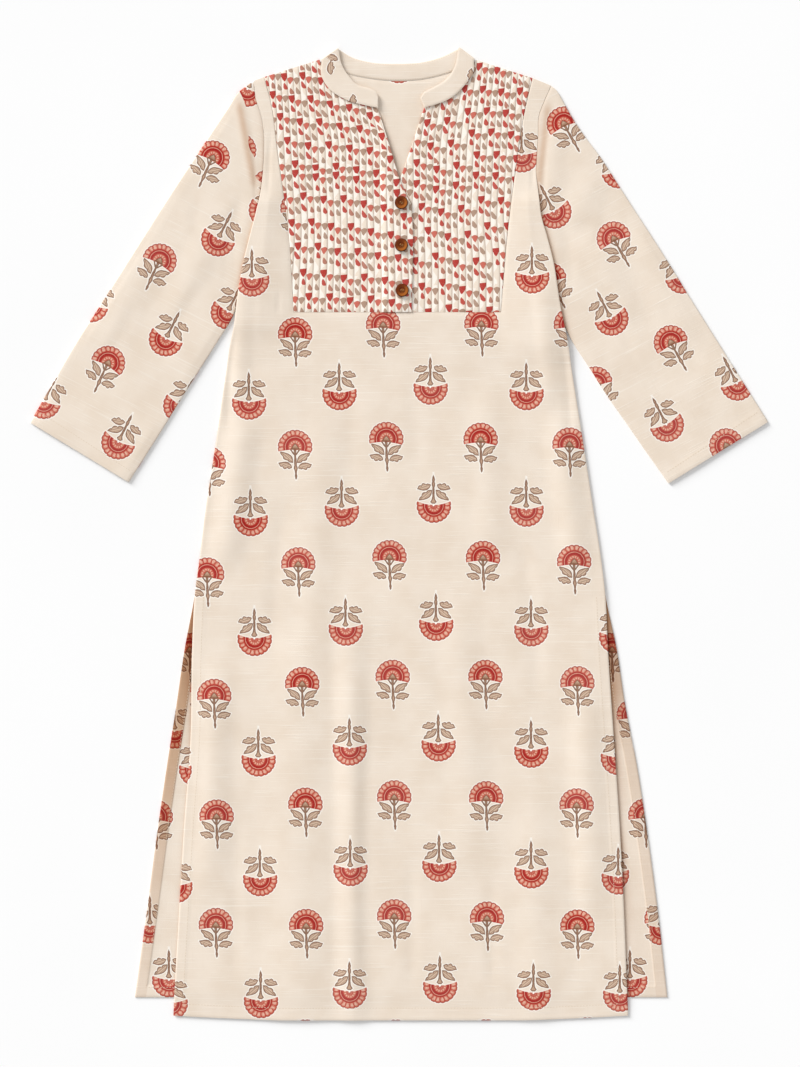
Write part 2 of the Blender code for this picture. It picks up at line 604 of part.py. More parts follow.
# ---------------------------------------------------------------- the model
def finish(name, colour, roughness):
    """A plain material."""
    material = bpy.data.materials.new(name)
    material.use_nodes = True
    surface = material.node_tree.nodes["Principled BSDF"]
    surface.inputs["Base Color"].default_value = (*colour, 1)
    surface.inputs["Roughness"].default_value = roughness
    surface.inputs["Metallic"].default_value = 0
    return material


def main():
    for old in list(bpy.data.objects):
        bpy.data.objects.remove(old)
    cream = finish("cream_cotton", (0.84, 0.73, 0.59), 0.85)
    printed = finish("bib_cotton", (0.80, 0.66, 0.56), 0.85)
    shell = finish("coconut_shell", (0.25, 0.09, 0.02), 0.35)
    back_panel(cream)
    front_panel(cream)
    yoke_left(printed)
    yoke_right(printed)
    collar(cream)
    sleeve("sleeve_left", SLEEVE_LEFT, 0, SLEEVE_LEFT_FOLDS, cream)
    sleeve("sleeve_right", SLEEVE_RIGHT, 1, SLEEVE_RIGHT_FOLDS, cream)
    for number in range(len(BUTTON_XY)):
        button(number, shell)


if __name__ == "__main__":
    main()
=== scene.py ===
"""Dresses a cotton kurta tunic laid flat: thin cloth, block print, pintucks, stitching and buttons.

The garment's frame: +X runs to the viewer's right, +Y from the hem to the collar, +Z off the surface that
it lies on. Tables and shape functions are in millimetres; `make_mesh` turns their points into metres.
Every piece of cloth is a closed wall between two grids of points: their rows follow each other down the
garment, down a sleeve or along the collar, and a row's points run across it.
"""

import math
from collections import namedtuple
from functools import reduce
from itertools import product

import bmesh
import bpy
import numpy as np
from bpy.props import FloatProperty, FloatVectorProperty, IntProperty, PointerProperty
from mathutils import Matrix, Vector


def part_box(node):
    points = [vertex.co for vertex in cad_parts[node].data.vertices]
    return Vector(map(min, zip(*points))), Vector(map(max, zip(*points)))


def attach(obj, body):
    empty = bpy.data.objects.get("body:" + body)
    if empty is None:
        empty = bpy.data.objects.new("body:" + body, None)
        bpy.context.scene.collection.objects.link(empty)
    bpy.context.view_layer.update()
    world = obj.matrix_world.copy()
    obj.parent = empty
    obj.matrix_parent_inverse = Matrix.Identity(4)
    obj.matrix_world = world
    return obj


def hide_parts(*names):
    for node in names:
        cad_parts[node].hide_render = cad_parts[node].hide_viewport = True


bl_info = {
    "name": "Kurta tunic dresser",
    "version": (1, 0, 0),
    "blender": (4, 5, 0),
    "location": "3D View > Sidebar > Kurta",
    "description": "Makes the cloth, print, tucks, stitching and buttons of a kurta tunic laid flat",
    "category": "Object",
}

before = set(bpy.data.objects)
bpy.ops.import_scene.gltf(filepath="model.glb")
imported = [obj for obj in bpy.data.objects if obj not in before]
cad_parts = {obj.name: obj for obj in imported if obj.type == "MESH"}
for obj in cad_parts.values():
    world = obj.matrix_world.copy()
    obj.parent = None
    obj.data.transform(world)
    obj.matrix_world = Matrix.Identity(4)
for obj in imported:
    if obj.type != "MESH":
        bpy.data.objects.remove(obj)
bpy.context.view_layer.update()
MM = 0.001


def listed(kind, *values):
    """A table: one named row from each tuple."""
    return [kind(*row) for row in values]


# ---------------------------------------------------------------- sizes shared with the solids
CLOTH = 1.2  # wall of the panels and sleeves
BAND = 1.4  # wall of the collar
SEAM = 0.3  # gap between pieces that are sewn together
FRONT_Z = CLOTH + SEAM  # where the front layer starts
HEM_STEP = 0.5  # how much higher a turned hem stands on the back panel
FRONT_HEM_STEP = 0.15  # and on the front panel and the cuffs
HEM_WIDTH = 14.0  # the body's turned hems
CUFF_HEM = 18.0  # the cuffs' turned hems
PLACKET_LIFT = 1.7  # how far the placket rises over the underlap
SLEEVE_LIFT = CLOTH + FRONT_Z + SEAM  # how far a side rises over its sleeve
LIFTED_SHARE = 0.4  # this share of a side strip lies flat on top of the sleeve
FRONT_HEM_DIP = 6.0  # how much lower the front hem hangs in the middle
HEM_SAG = 0.9  # the front hem sinks this much past the back one
NECK_UNDER = 1.5  # how far the bib runs under the collar
BUTTON_PLACES = ("button_1", "button_2", "button_3")

# The body's outline, a row for each height: its edges, and how far each side rides up on its sleeve.
BodyRow = namedtuple("BodyRow", "y left right lift_left lift_right")
BODY = listed(
    BodyRow,
    (551, -181, 184.6, 0, 0), (529, -174, 176.4, 0, 0), (506, -170.5, 175.5, 0, 0),
    (483, -170.3, 174.2, 0, 0), (458, -171.7, 173.1, 0, 0), (435, -174.3, 175.6, 0.4, 0.4),
    (420, -177.2, 177.3, 1, 1), (406, -180.7, 178.8, 1, 1), (375, -188.8, 187.2, 1, 1),
    (341, -197.1, 195.6, 1, 1), (309, -202.6, 200.5, 1, 1), (281, -206.1, 205.1, 1, 1),
    (264, -208.2, 208.9, 1, 1), (240, -213.2, 213.5, 0.4, 1), (211, -217.5, 217.6, 0, 0.3),
    (158, -225.1, 225.9, 0, 0), (95, -234.5, 235.8, 0, 0), (32, -244.1, 245.4, 0, 0),
    (-32, -252, 255.3, 0, 0), (-72, -257.2, 260, 0, 0),
)
TOP_Y, UNDERARM_Y, BIB_Y, SLIT_Y = 551.0, 420.0, 281.0, -72.0
ARMHOLE_TOP = ((-183.0, 573.0), (192.0, 567.0))
YOKE_TOP = ((-170.3, 577.8), (168.7, 576.5))
NECK_TOP = ((-101.3, 599.5), (98.4, 599.2))
SkirtRow = namedtuple("SkirtRow", "y left right")
FRONT_SKIRT = listed(
    SkirtRow,
    (-145, -261, 263.7), (-255, -263, 271), (-370, -271.3, 278.7), (-480, -277.7, 284.2),
    (-560, -282.4, 287.3), (-606.5, -284.7, 289.3),
)
BACK_SKIRT = listed(
    SkirtRow,
    (-145, -270.7, 275), (-215, -281, 285.6), (-290, -292.7, 300.2), (-370, -304.4, 312.6),
    (-480, -319, 327.4), (-583.5, -333.4, 338.8),
)

# The bib's outer edges, the placket's edge and the underlap's, each y, x from the bottom up.
YOKE_LEFT_EDGE = [(281, -133), (375, -139), (483, -153.3), (551, -162.8), (577.8, -170.3)]
YOKE_RIGHT_EDGE = [(281, 128.7), (375, 136.6), (483, 150.6), (551, 162.2), (576.5, 168.7)]
PLACKET_EDGE = [(281, 16), (406, 16), (420, 14.5), (435, 6.5), (483, -9.3), (540, -27), (600, -46)]
UNDERLAP_EDGE = [(281, -11.4), (406, -11.4), (420, -9.5), (435, -4), (483, 13.4), (540, 32), (600, 52)]
# The neck's seams and the collar's free edges, each x, y, and both where the collar turns at a shoulder.
NECK_FRONT_LEFT = [(-98.4, 582), (-89.7, 564.7), (-69.4, 550.2), (-40.5, 541.5), (-26, 538.7)]
NECK_FRONT_RIGHT = [(94, 584), (85.5, 570.5), (63.8, 550.2), (45, 542.5), (31.9, 538.7)]
NECK_BACK = [
    NECK_TOP[0], (-68, 583), (-34, 575.5), (0, 572.8), (34, 575.5), (67.5, 584.5), NECK_TOP[1],
]
COLLAR_FREE_LEFT = [
    (-26, 552), (-29.5, 559), (-37.6, 563.3), (-52.1, 567.7), (-63.6, 579.2), (-72.3, 593.7),
]
COLLAR_FREE_RIGHT = [(27, 551), (31, 557.5), (43.5, 564.7), (58, 573.4), (69.6, 589.3)]
COLLAR_FREE_BACK = [(-61.3, 603.9), (-35.6, 596.7), (0.5, 594.9), (28.8, 596.7), (54.5, 603.9)]
COLLAR_TURN_LEFT = ((-97.5, 598.6), (-76.3, 613.4))
COLLAR_TURN_RIGHT = ((94.5, 598.7), (74.8, 613.6))
TUCK_ROOM = 0.7  # room for the bib's tucks under the collar
COLLAR_BACK_Z = BAND / 2
COLLAR_FRONT_Z = FRONT_Z + CLOTH + TUCK_ROOM + SEAM + BAND / 2

SleeveRow = namedtuple("SleeveRow", "outer_x outer_y inner_x inner_y")
SLEEVE_LEFT = listed(
    SleeveRow,
    (-183, 573, -177.5, 420), (-191.8, 567.1, -181.4, 406), (-202, 559.4, -179.8, 389.8),
    (-215.7, 538.7, -180.4, 370.9), (-234.7, 510.3, -184.2, 350.7), (-256.1, 478.1, -189.9, 330.5),
    (-276.3, 447.9, -198.1, 309.1), (-297.7, 415.1, -209.5, 276.3), (-325.5, 371.3, -228.3, 245.4),
    (-354.5, 325.5, -251.1, 209.4), (-382.3, 281.8, -275, 171.6), (-410, 238.4, -297.7, 135),
    (-437.8, 190.5, -319.2, 100.9), (-458, 155.2, -335, 76.3), (-465.5, 142, -341, 66.6),
)
SLEEVE_RIGHT = listed(
    SleeveRow,
    (192, 567, 177.9, 420), (198.7, 561.4, 179.5, 406), (206.9, 547.5, 177.3, 388.6),
    (218.3, 527.3, 178.5, 368.4), (233.4, 504.6, 182.9, 346.9), (253.3, 478.1, 188.6, 324.2),
    (273.8, 446.6, 196.2, 299), (294, 415.1, 205, 273.8), (317.9, 378.5, 217, 247.3),
    (343.2, 338.7, 238.4, 213.8), (368.4, 297.7, 261.2, 177.9), (394.9, 255.5, 285.1, 143.8),
    (423.9, 209.4, 310.4, 107.2), (456.1, 158.3, 332.4, 76.1), (465.9, 142.8, 340, 65.1),
)

# Folds and creases of the layer that shows: both ends, how far the line bows sideways, the distance at
# which it has died away, and its height (a trough has a height below zero).
Fold = namedtuple("Fold", "x0 y0 x1 y1 bow width height")
FRONT_FOLDS = listed(
    Fold,
    (-61, -60, -58, -690, 0, 28, 3), (-122, -60, -126, -690, 0, 62, 2),
    (-194, 340, -202, 150, 0, 18, 1.1), (-192, 170, -222, -60, 0, 30, 2.6),
    (182, 350, 192, 150, 0, 20, 1.2), (200, 170, 228, -60, 0, 30, 2.6),
    (-228, -130, -240, -470, 0, 30, 2.2), (232, -160, 244, -520, 0, 30, 2.2),
    (70, -40, 98, -440, 0, 36, 1.4), (-96, 190, -120, -240, 0, 36, 1.2),
    (108, 210, 120, -40, 0, 30, 1.2), (170, -300, 176, -660, 0, 34, 1.3),
)
FRONT_CREASES = listed(
    Fold,
    (-41, -230, -43, -600, 3, 14, -0.7), (14, -390, 15, -600, -2, 14, -0.5),
    (-150, 310, -152, 276, 1, 4, -0.5), (-205, 270, -214, 120, 4, 9, -0.7),
    (206, 250, 214, 90, -4, 9, -0.7), (-160, 520, -164, 420, 2, 5, -0.4),
    (163, 520, 168, 430, -2, 5, -0.4), (-140, 60, -160, -190, 6, 16, -0.6),
    (150, 20, 176, -230, -6, 16, -0.6), (20, 240, 26, 60, 3, 18, -0.4),
    (-60, 200, -66, 20, -3, 18, -0.4), (-200, -330, -206, -590, 3, 14, -0.6),
    (118, -420, 120, -600, 2, 14, -0.6), (214, -380, 222, -590, -3, 13, -0.6),
)
SLEEVE_LEFT_FOLDS = listed(
    Fold,
    (-206, 562, -180, 436, 0, 12, 0.6), (-226, 400, -292, 262, 0, 28, 1),
    (-300, 380, -382, 214, 0, 32, 0.9), (-250, 470, -214, 392, 0, 28, 0.8),
)
SLEEVE_LEFT_CREASES = listed(
    Fold,
    (-190, 556, -179, 404, -2, 5, -0.8), (-196, 440, -214, 300, 5, 14, -0.5),
    (-240, 330, -300, 210, 6, 14, -0.4), (-330, 300, -392, 196, -6, 16, -0.4),
    (-262, 420, -236, 350, 4, 14, -0.4),
)
# The painted shade in the valley beside each armhole: its line's ends and how light it is.
SLEEVE_VALLEYS = (((-200, 536), (-184, 450), 0.8), ((187, 532), (176, 440), 0.85))  # ends and lightness
SLEEVE_RIGHT_FOLDS = listed(
    Fold,
    (199, 524, 192, 420, 0, 20, 0.7), (230, 392, 300, 256, 0, 28, 1.1),
    (296, 390, 372, 226, 0, 32, 0.9), (252, 462, 214, 384, 0, 28, 0.8),
)
SLEEVE_RIGHT_CREASES = listed(
    Fold,
    (190, 540, 182, 410, 3, 6, -0.6), (198, 440, 216, 296, -5, 14, -0.5),
    (246, 330, 300, 210, -6, 14, -0.4), (330, 306, 388, 200, 6, 16, -0.4),
    (266, 424, 240, 350, -4, 14, -0.4),
)

# ---------------------------------------------------------------- the block print
# A stamp is one printed flower: the middle of its bloom, and how far it is turned from upright. The two
# blocks differ a little, so `kind` says which one it is.
Stamp = namedtuple("Stamp", "x y turn kind")
COLUMN_PITCH = 114.8
ROW_PITCH = 150.0
COLUMNS, ROWS = 14, 10  # of the plain repeat, to each side of its origin
REPEAT_ORIGIN = (-13, -35)  # one bloom of the body's plain repeat
STAMP_REACH = 68.0  # no flower of the plain repeat is printed nearer than this to one that is listed
SLEEVE_TURN = 27.0
PARKED = 400.0  # where a face with no flower near it reads the print
LEAVES_ONLY = 2.0  # the shade of a flower whose lower leaves alone are printed; a whole one's is below 1
GOLDEN = 0.618  # its multiples, less their whole part, fall in no plain order


def upright(*places):
    """Flowers of the first block, which stand upright."""
    return [Stamp(x, y, 0.0, 0) for x, y in places]


def turned(*places):
    """Flowers of the second block, which hang."""
    return [Stamp(x, y, 180.0, 1) for x, y in places]


def tilted(stamps, degrees):
    """The stamps turned further."""
    return [s._replace(turn=s.turn + degrees) for s in stamps]


FRONT_PRINT = [
    *upright((-131, 253), (-20, 265), (104, 266)),
    *upright((-131, 111), (-16, 121), (103, 120), (215, 114)),
    *upright((-242, -50), (-127, -37), (-12, -28), (106, -29), (221, -34)),
    *upright((-233, -203), (-122, -188), (-8, -179), (109, -179), (225, -187)),
    *upright((-230, -355), (-118, -340), (-6, -331), (110, -332), (224, -341)),
    *upright((-231, -492), (-117, -493), (-6, -481), (111, -484), (225, -494)),
    *turned((-185, 322), (168, 326), (155, 479)),
    *turned((-189, 167), (-75, 179), (40, 186), (161, 179)),
    *turned((-187, 20), (-72, 32), (44, 37), (161, 32), (274, 30)),
    *turned((-182, -131), (-67, -118), (47, -112), (167, -119), (274, -128)),
    *turned((-177, -283), (-62, -269), (50, -264), (167, -272), (276, -281)),
    *turned((-175, -434), (-61, -421), (51, -416), (167, -424), (277, -432)),
    *turned((-174, -588), (-62, -576), (52, -569), (170, -578), (279, -580)),
    *turned((-283, -296), (-282, -443), (-288, -591)),
    *upright((-118, -632.8), (-4, -633.1), (110, -632.7), (238, -630.2)),
    *upright((-128, 412), (-240, 90)),
    *turned((-208, 407)),
]
BACK_PRINT = [
    *upright((-264, -145), (-243, -193), (-307, -356), (269, -145), (311, -354)),
    *turned((-256, -296), (-290, -562), (252, -281), (269, -428), (292, -562), (0, 592)),
]
BACK_HEM_PRINT = [
    *upright((-264, -145), (-307, -356), (269, -145), (296, -228), (311, -354)),
    *turned((-283, -248), (-314, -494), (331, -496)),
]
SLEEVE_LEFT_PRINT = tilted([
    *upright((-235, 476), (-302, 346), (-367, 217), (-168, 490)),
    *turned((-228, 373), (-294, 247), (-354, 117), (-216, 281), (-448, 168), (-276, 163)),
    *turned((-188, 556), (-168, 410), (-388, 290)),
], -SLEEVE_TURN)
# The fold beside the left armhole: its edge, each y, x, and the print that shows between it and the seam.
SLEEVE_CUT = [
    (420, -120), (434, -150), (447, -177), (470, -179), (489, -189), (511, -189.5), (540, -193),
    (561, -202), (580, -216),
]
SLEEVE_FOLD_PRINT = tilted([*upright((-201.6, 485.5), (-164, 440)), *turned((-191, 562), (-168, 410))],
                           -SLEEVE_TURN)
SLEEVE_RIGHT_PRINT = tilted([
    *upright((208, 519), (271, 374), (343, 243), (413, 113), (248, 191), (190, 322)),
    *turned((196, 408), (268, 273), (338, 139), (427, 191), (277, 459), (357, 326)),
], SLEEVE_TURN)
COLLAR_PRINT = [
    Stamp(-73, 625, 0, 0), Stamp(-112.5, 583, 76, 0), Stamp(-84.5, 541, 76, 0), Stamp(116, 573, -76, 0),
    Stamp(-97, 556, 0, 0),  # its leaves fall past the collar, which is bare there
]

# The bib's tucks. Their stitched lines hang nearly straight down, and the bib's edges cut across them. A
# row gives, at one height, the place of line 0 and the distance from each line to the next.
TuckRow = namedtuple("TuckRow", "y first pitch")
TUCK_LINES_LEFT = listed(
    TuckRow,
    (281, -145.5, 8.80), (300, -144.5, 8.75), (395, -139.7, 8.33), (456, -143.2, 8.50),
    (496.6, -145.1, 8.62), (526, -145.8, 8.15), (554.5, -147.4, 7.87), (600, -150, 7.60),
)
TUCK_LINES_RIGHT = listed(
    TuckRow,
    (281, 15.5, 8.60), (350, 16, 8.55), (395, 15.4, 8.35), (443, 18.3, 8.25), (496.6, 19.2, 8.40),
    (526, 24.3, 8.15), (554.5, 30.2, 7.87), (600, 38, 7.60),
)
TUCKS_LEFT = (-3, 19)  # the first line and the last one that any part of the half reaches
TUCKS_RIGHT = (-4, 18)

# The bib's print, charted for three tucks: a red shield, a salmon one and a taupe one, each a little lower
# than the one before. A row of it gives the height of its red shields and the tuck where a group of three
# starts; `sinks` gives how much lower each group hangs than its row, from the one before that tuck on.
ShieldChart = namedtuple("ShieldChart", "levels starts sinks")
SHIELDS_LEFT = ShieldChart(
    (610, 582, 553.8, 526.1, 497.2, 468.8, 456.7, 427, 393, 362.7, 330, 301, 272),
    (-4, -3, -2, -1, 0, 1, 1, 2, 3, 4, 5, 6, 7),
    (0, 0, 5.5, 4.5, 10, 14, 25),
)
SHIELDS_RIGHT = ShieldChart(
    (619, 591, 563, 535, 507, 478, 452, 422, 390.5, 358, 326, 295, 264),
    (-5, -4, -3, -2, -1, 0, 0, 1, 2, 3, 4, 5, 6),
    (14, 8, 16, 12, 0, 0, 4),
)
SHIELD_DROPS = (0.0, 4.6, 5.2)
SHIELD_TOP = 7.4  # the highest point of a shield above its middle


# ---------------------------------------------------------------- shape functions
def smooth(x, start, end):
    """0 at start, 1 at end and a soft S between them: 3 t squared less 2 t cubed."""
    t = np.clip((x - start) / (end - start), 0, 1)
    return t * t * (3 - 2 * t)


def flow(table, at, column=1):
    """A smooth line through a table's points: cubic stretches that share their slope where they meet."""
    rows = sorted(table)
    knots = np.array([row[0] for row in rows], float)
    values = np.array([row[column] for row in rows], float)
    slopes = np.gradient(values, knots)
    i = np.clip(np.searchsorted(knots, at, side="right") - 1, 0, len(knots) - 2)
    step = knots[i + 1] - knots[i]
    t = np.clip((at - knots[i]) / step, 0, 1)
    ends = values[i] * (1 + 2 * t) * (1 - t) ** 2 + values[i + 1] * t * t * (3 - 2 * t)
    return ends + step * (slopes[i] * t * (1 - t) ** 2 - slopes[i + 1] * t * t * (1 - t))


def unit(vectors):
    """Vectors at a length of 1."""
    return vectors / np.linalg.norm(vectors, axis=-1, keepdims=True)


def raised(plan, z):
    """A grid of x and y with heights: one for all, one for each column, or one for each point."""
    return np.dstack([plan, np.broadcast_to(z, plan.shape[:2])])


def distances(points):
    """How far along a line of straight runs each of its points lies."""
    return np.concatenate([[0], np.cumsum(np.linalg.norm(np.diff(points, axis=0), axis=1))])


def spaced(points, count, even=True):
    """A smooth line through the points, as `count` points at equal steps along it."""
    points = np.array(points, float)
    along = distances(points)
    at = np.linspace(0, along[-1], count)
    fine = np.stack([flow(list(zip(along, points[:, k])), at) for k in range(points.shape[1])], axis=1)
    return spaced_straight(fine, count) if even else fine


def spaced_straight(points, count):
    """Points at equal steps along a line of straight runs."""
    along = distances(points)
    at = np.linspace(0, along[-1], count)
    return np.stack([np.interp(at, along, points[:, k]) for k in range(points.shape[1])], axis=1)


def fold_height(folds, x, y):
    """The height that folds give a layer: a soft ridge about each line, which tapers at both ends."""
    total = np.zeros(np.shape(x))
    for f in folds:
        run_x, run_y = f.x1 - f.x0, f.y1 - f.y0
        length = math.hypot(run_x, run_y)
        along = ((x - f.x0) * run_x + (y - f.y0) * run_y) / length**2
        aside = ((x - f.x0) * run_y - (y - f.y0) * run_x) / length - f.bow * 4 * along * (1 - along)
        end = smooth(along, 0, 0.25) * smooth(along, 1, 0.75)
        total = total + f.height * end * smooth(np.abs(aside), f.width, 0)
    return total


# Each wave's turns across and down, in radians a millimetre, where it starts, and its height.
RIPPLES = (
    (0.013, 0.047, 0.3, 0.22), (0.061, 0.011, 1.7, 0.16), (0.034, -0.052, 4.1, 0.12),
    (0.11, 0.023, 2.2, 0.07),
)
RIPPLE_LIFT, RIPPLE_SHARE = 0.5, 0.8  # lifted so that it hardly dips, then scaled


def ripple(x, y):
    """The cloth's slight unevenness: a sum of long sine waves that cross each other."""
    return sum(height * np.sin(across * x + down * y + start) for across, down, start, height in RIPPLES)


def wrinkles(creases, x, y):
    """The height of a layer's creases and of its ripple, each to be faded where the cloth is held."""
    return fold_height(creases, x, y), (ripple(x, y) + RIPPLE_LIFT) * RIPPLE_SHARE


def side_lift(x, y):
    """How far a body panel rides up on the sleeves beside it."""
    total = np.zeros(np.shape(x))
    for edge, lift, bib in ((1, 3, YOKE_LEFT_EDGE), (2, 4, YOKE_RIGHT_EDGE)):
        free = flow(BODY, y, edge)
        share = (x - free) / (flow(bib, np.maximum(y, BIB_Y)) - free)
        rise = np.clip((1 - share) / (1 - LIFTED_SHARE), 0, 1)
        heights = np.interp(y, [row[0] for row in BODY[::-1]], [row[lift] for row in BODY[::-1]])
        total = total + SLEEVE_LIFT * heights * rise * (y > SLIT_Y)
    return total


def outline(skirt, y, side):
    """The x of a body panel's left (0) or right (1) edge at each height."""
    return flow([*BODY, *skirt], y, 1 + side)


def inset(x, y, skirt):
    """How far inside a panel's nearer side edge a point lies."""
    return np.minimum(x - outline(skirt, y, 0), outline(skirt, y, 1) - x)


def hem_edge(x, skirt, dip):
    """The y of a panel's lower edge at x: its middle hangs lower, in a flat-bottomed arc."""
    last = skirt[-1]
    across = np.clip((x - last.left) / (last.right - last.left), 0, 1)
    return last.y - dip * np.clip(4 * across * (1 - across) * 1.4, 0, 1)


def slit_hem(x, y, skirt, soft):
    """1 on the turned hems along a panel's slits, 0 elsewhere, and an S between, `soft` to each side."""
    beside = smooth(inset(x, y, skirt), HEM_WIDTH + soft, HEM_WIDTH - soft)
    return beside * smooth(y, SLIT_Y - 4, SLIT_Y - 12)


def turned_hem(x, y, skirt, dip):
    """1 on the turned hems along the slits and the lower edge, 0 elsewhere, with a soft step between."""
    lower = smooth(y - hem_edge(x, skirt, dip), HEM_WIDTH + 1.5, HEM_WIDTH - 1)
    return np.maximum(slit_hem(x, y, skirt, 1), lower)


def front_under(x, y):
    """The height of the front panel's lower face, which drops past the back's hem."""
    base = FRONT_Z + HEM_STEP * smooth(y, -32, SLIT_Y) - HEM_SAG * smooth(y, -575, -606)
    lift = side_lift(x, y) + fold_height(FRONT_FOLDS, x, y)
    loose = smooth(y, 540, 470) * smooth(y, -600, -540)  # the shoulders and the hem lie flat
    creased, rippled = wrinkles(FRONT_CREASES, x, y)
    return base + lift + (creased + rippled * smooth(inset(x, y, FRONT_SKIRT), 0, 30)) * loose


def front_top(x, y):
    """The height of the front panel's upper face, with its turned hems."""
    return front_under(x, y) + CLOTH + FRONT_HEM_STEP * turned_hem(x, y, FRONT_SKIRT, FRONT_HEM_DIP)


def back_top(x, y):
    """The height of the back panel's upper face, with its turned hems."""
    return side_lift(x, y) + CLOTH + HEM_STEP * turned_hem(x, y, BACK_SKIRT, 0)


# ---------------------------------------------------------------- meshes
BAKE_MARGIN = 0.002  # kept free at the edges of the map that a finish is baked to
BAKE_GAP = 0.01  # and between its outer and its inner faces
RIM_ROUNDING = 0.3  # this share of a wall's edge is turned in from each face


def grid_quads(count, columns, closed=False):
    """Faces between a grid's rows and columns; a closed grid's last column also joins its first."""
    place = np.arange(count * columns).reshape(count, columns)
    after = np.roll(place, -1, axis=1)
    quads = np.stack([place[:-1], place[1:], after[1:], after[:-1]], axis=-1)
    return (quads if closed else quads[:, :-1]).reshape(-1, 4)


def make_mesh(name, points, quads, material, maps=(), sharp=45, weld=False):
    """One object from points in millimetres and four-cornered faces, with a UV map for each of `maps`."""
    mesh = bpy.data.meshes.new(name)
    mesh.vertices.add(len(points))
    mesh.vertices.foreach_set("co", (np.asarray(points) * MM).astype(np.float32).ravel())
    mesh.loops.add(quads.size)
    mesh.loops.foreach_set("vertex_index", quads.astype(np.int32).ravel())
    mesh.polygons.add(len(quads))
    mesh.polygons.foreach_set("loop_start", np.arange(0, quads.size, 4, dtype=np.int32))
    mesh.update(calc_edges=True)
    for title, values in dict(maps).items():
        mesh.uv_layers.new(name=title).data.foreach_set("uv", values.astype(np.float32).ravel())
    if weld:
        shape = bmesh.new()
        shape.from_mesh(mesh)
        bmesh.ops.remove_doubles(shape, verts=shape.verts, dist=1e-7)
        shape.to_mesh(mesh)
        shape.free()
    mesh.validate()
    mesh.shade_smooth()
    mesh.set_sharp_from_angle(angle=math.radians(sharp))
    mesh.materials.append(material)
    piece = bpy.data.objects.new(name, mesh)
    bpy.context.scene.collection.objects.link(piece)
    return piece


def shell(name, outer, inner, material, maps, cells=None, tube=False, outer_room=0.62, weld=False):
    """A closed wall between two grids: its outer faces, its inner ones, and a rounded rim between them.

    Each of `maps` turns the grid places of every face's corners into that map's values. The map that the
    finish is baked to gives `outer_room` of its width to the outer faces.
    """
    count, columns = outer.shape[:2]
    across = columns + 1 if tube else columns
    quads = grid_quads(count, across)
    if cells is not None:
        quads = quads[cells.ravel()]
    place = np.arange(count * across)
    vertex = place // across * columns + place % across % columns
    inside = count * columns
    start, end = quads, np.roll(quads, -1, axis=1)
    rim = ~np.isin(vertex[start] * inside + vertex[end], vertex[end] * inside + vertex[start])
    a, b = start[rim], end[rim]
    points = np.concatenate([outer.reshape(-1, 3), inner.reshape(-1, 3)])
    edge = np.unique(vertex[np.concatenate([a, b])])
    over, under = points[edge].copy(), points[edge + inside].copy()
    points[edge] = over + RIM_ROUNDING * (under - over)
    points[edge + inside] = under + RIM_ROUNDING * (over - under)
    faces = np.concatenate([
        vertex[quads],
        vertex[quads[:, ::-1]] + inside,
        np.stack([vertex[b], vertex[a], vertex[a] + inside, vertex[b] + inside], axis=-1),
    ])
    corners = np.concatenate([quads, quads[:, ::-1], np.stack([b, a, a, b], axis=-1)])
    made = {title: chart(corners) for title, chart in maps.items()}
    bake = np.dstack([corners % across / (across - 1) * outer_room, corners // across / (count - 1)])
    lower = slice(len(quads), 2 * len(quads))
    inner_room = 1 - BAKE_GAP - outer_room
    bake[lower, :, 0] = outer_room + BAKE_GAP + bake[lower, :, 0] * inner_room / outer_room
    made["OFBake"] = bake * (1 - 2 * BAKE_MARGIN) + BAKE_MARGIN
    used, compact = np.unique(faces, return_inverse=True)
    return make_mesh(name, points[used], compact.reshape(-1, 4), material, made, weld=weld)


def sheet_normals(points):
    """The unit normal at each point of a grid, up where the grid runs down and to the right."""
    return unit(np.cross(np.gradient(points, axis=1), np.gradient(points, axis=0)) * -1)


# ---------------------------------------------------------------- where the print falls
def repeat(placed, origin, turn, low, high):
    """The placed stamps, and the plain half-drop repeat wherever none of them is near."""
    angle = math.radians(turn)
    column = np.array([math.cos(angle), math.sin(angle)]) * COLUMN_PITCH
    row = np.array([math.sin(angle), -math.cos(angle)]) * ROW_PITCH
    taken = np.array([(s.x, s.y) for s in placed])
    stamps = list(placed)
    for kind, i, j in product((0, 1), range(-COLUMNS, COLUMNS + 1), range(-ROWS, ROWS + 1)):
        x, y = origin + (i + kind / 2) * column + (j + kind / 2) * row
        clear = np.linalg.norm(taken - (x, y), axis=1).min() > STAMP_REACH
        if clear and low[0] < x < high[0] and low[1] < y < high[1]:
            stamps.append(Stamp(x, y, turn + 180.0 * kind, kind))
    return stamps


def per_face(*values):
    """A chart that is the same at all four corners of each face."""
    return np.repeat(np.stack(values, axis=-1)[:, None], 4, axis=1)


def flower_maps(plan, stamps, leaves_only=False):
    """Charts for the flower print: each face reads the stamp that is nearest to it, in the stamp's frame.

    "Ink" is the block, 0 or 1, and the flower's own shade.
    """
    plan = plan.reshape(-1, 2)
    place = np.array([(s.x, s.y) for s in stamps])
    turn = np.radians([s.turn for s in stamps])
    kind = np.array([float(s.kind) for s in stamps])

    def nearest(corners):
        return np.linalg.norm(plan[corners].mean(axis=1)[:, None] - place, axis=2).argmin(axis=1)

    def stamp(corners):
        which = nearest(corners)
        offset = plan[corners] - place[which][:, None]
        cos, sin = np.cos(turn[which])[:, None], np.sin(turn[which])[:, None]
        x, y = offset[..., 0], offset[..., 1]
        return np.dstack([x * cos + y * sin, y * cos - x * sin])

    def ink(corners):
        which = nearest(corners)
        shade = np.full(len(which), LEAVES_ONLY) if leaves_only else (which * GOLDEN) % 1
        return per_face(kind[which], shade)

    return {"Stamp": stamp, "Ink": ink}


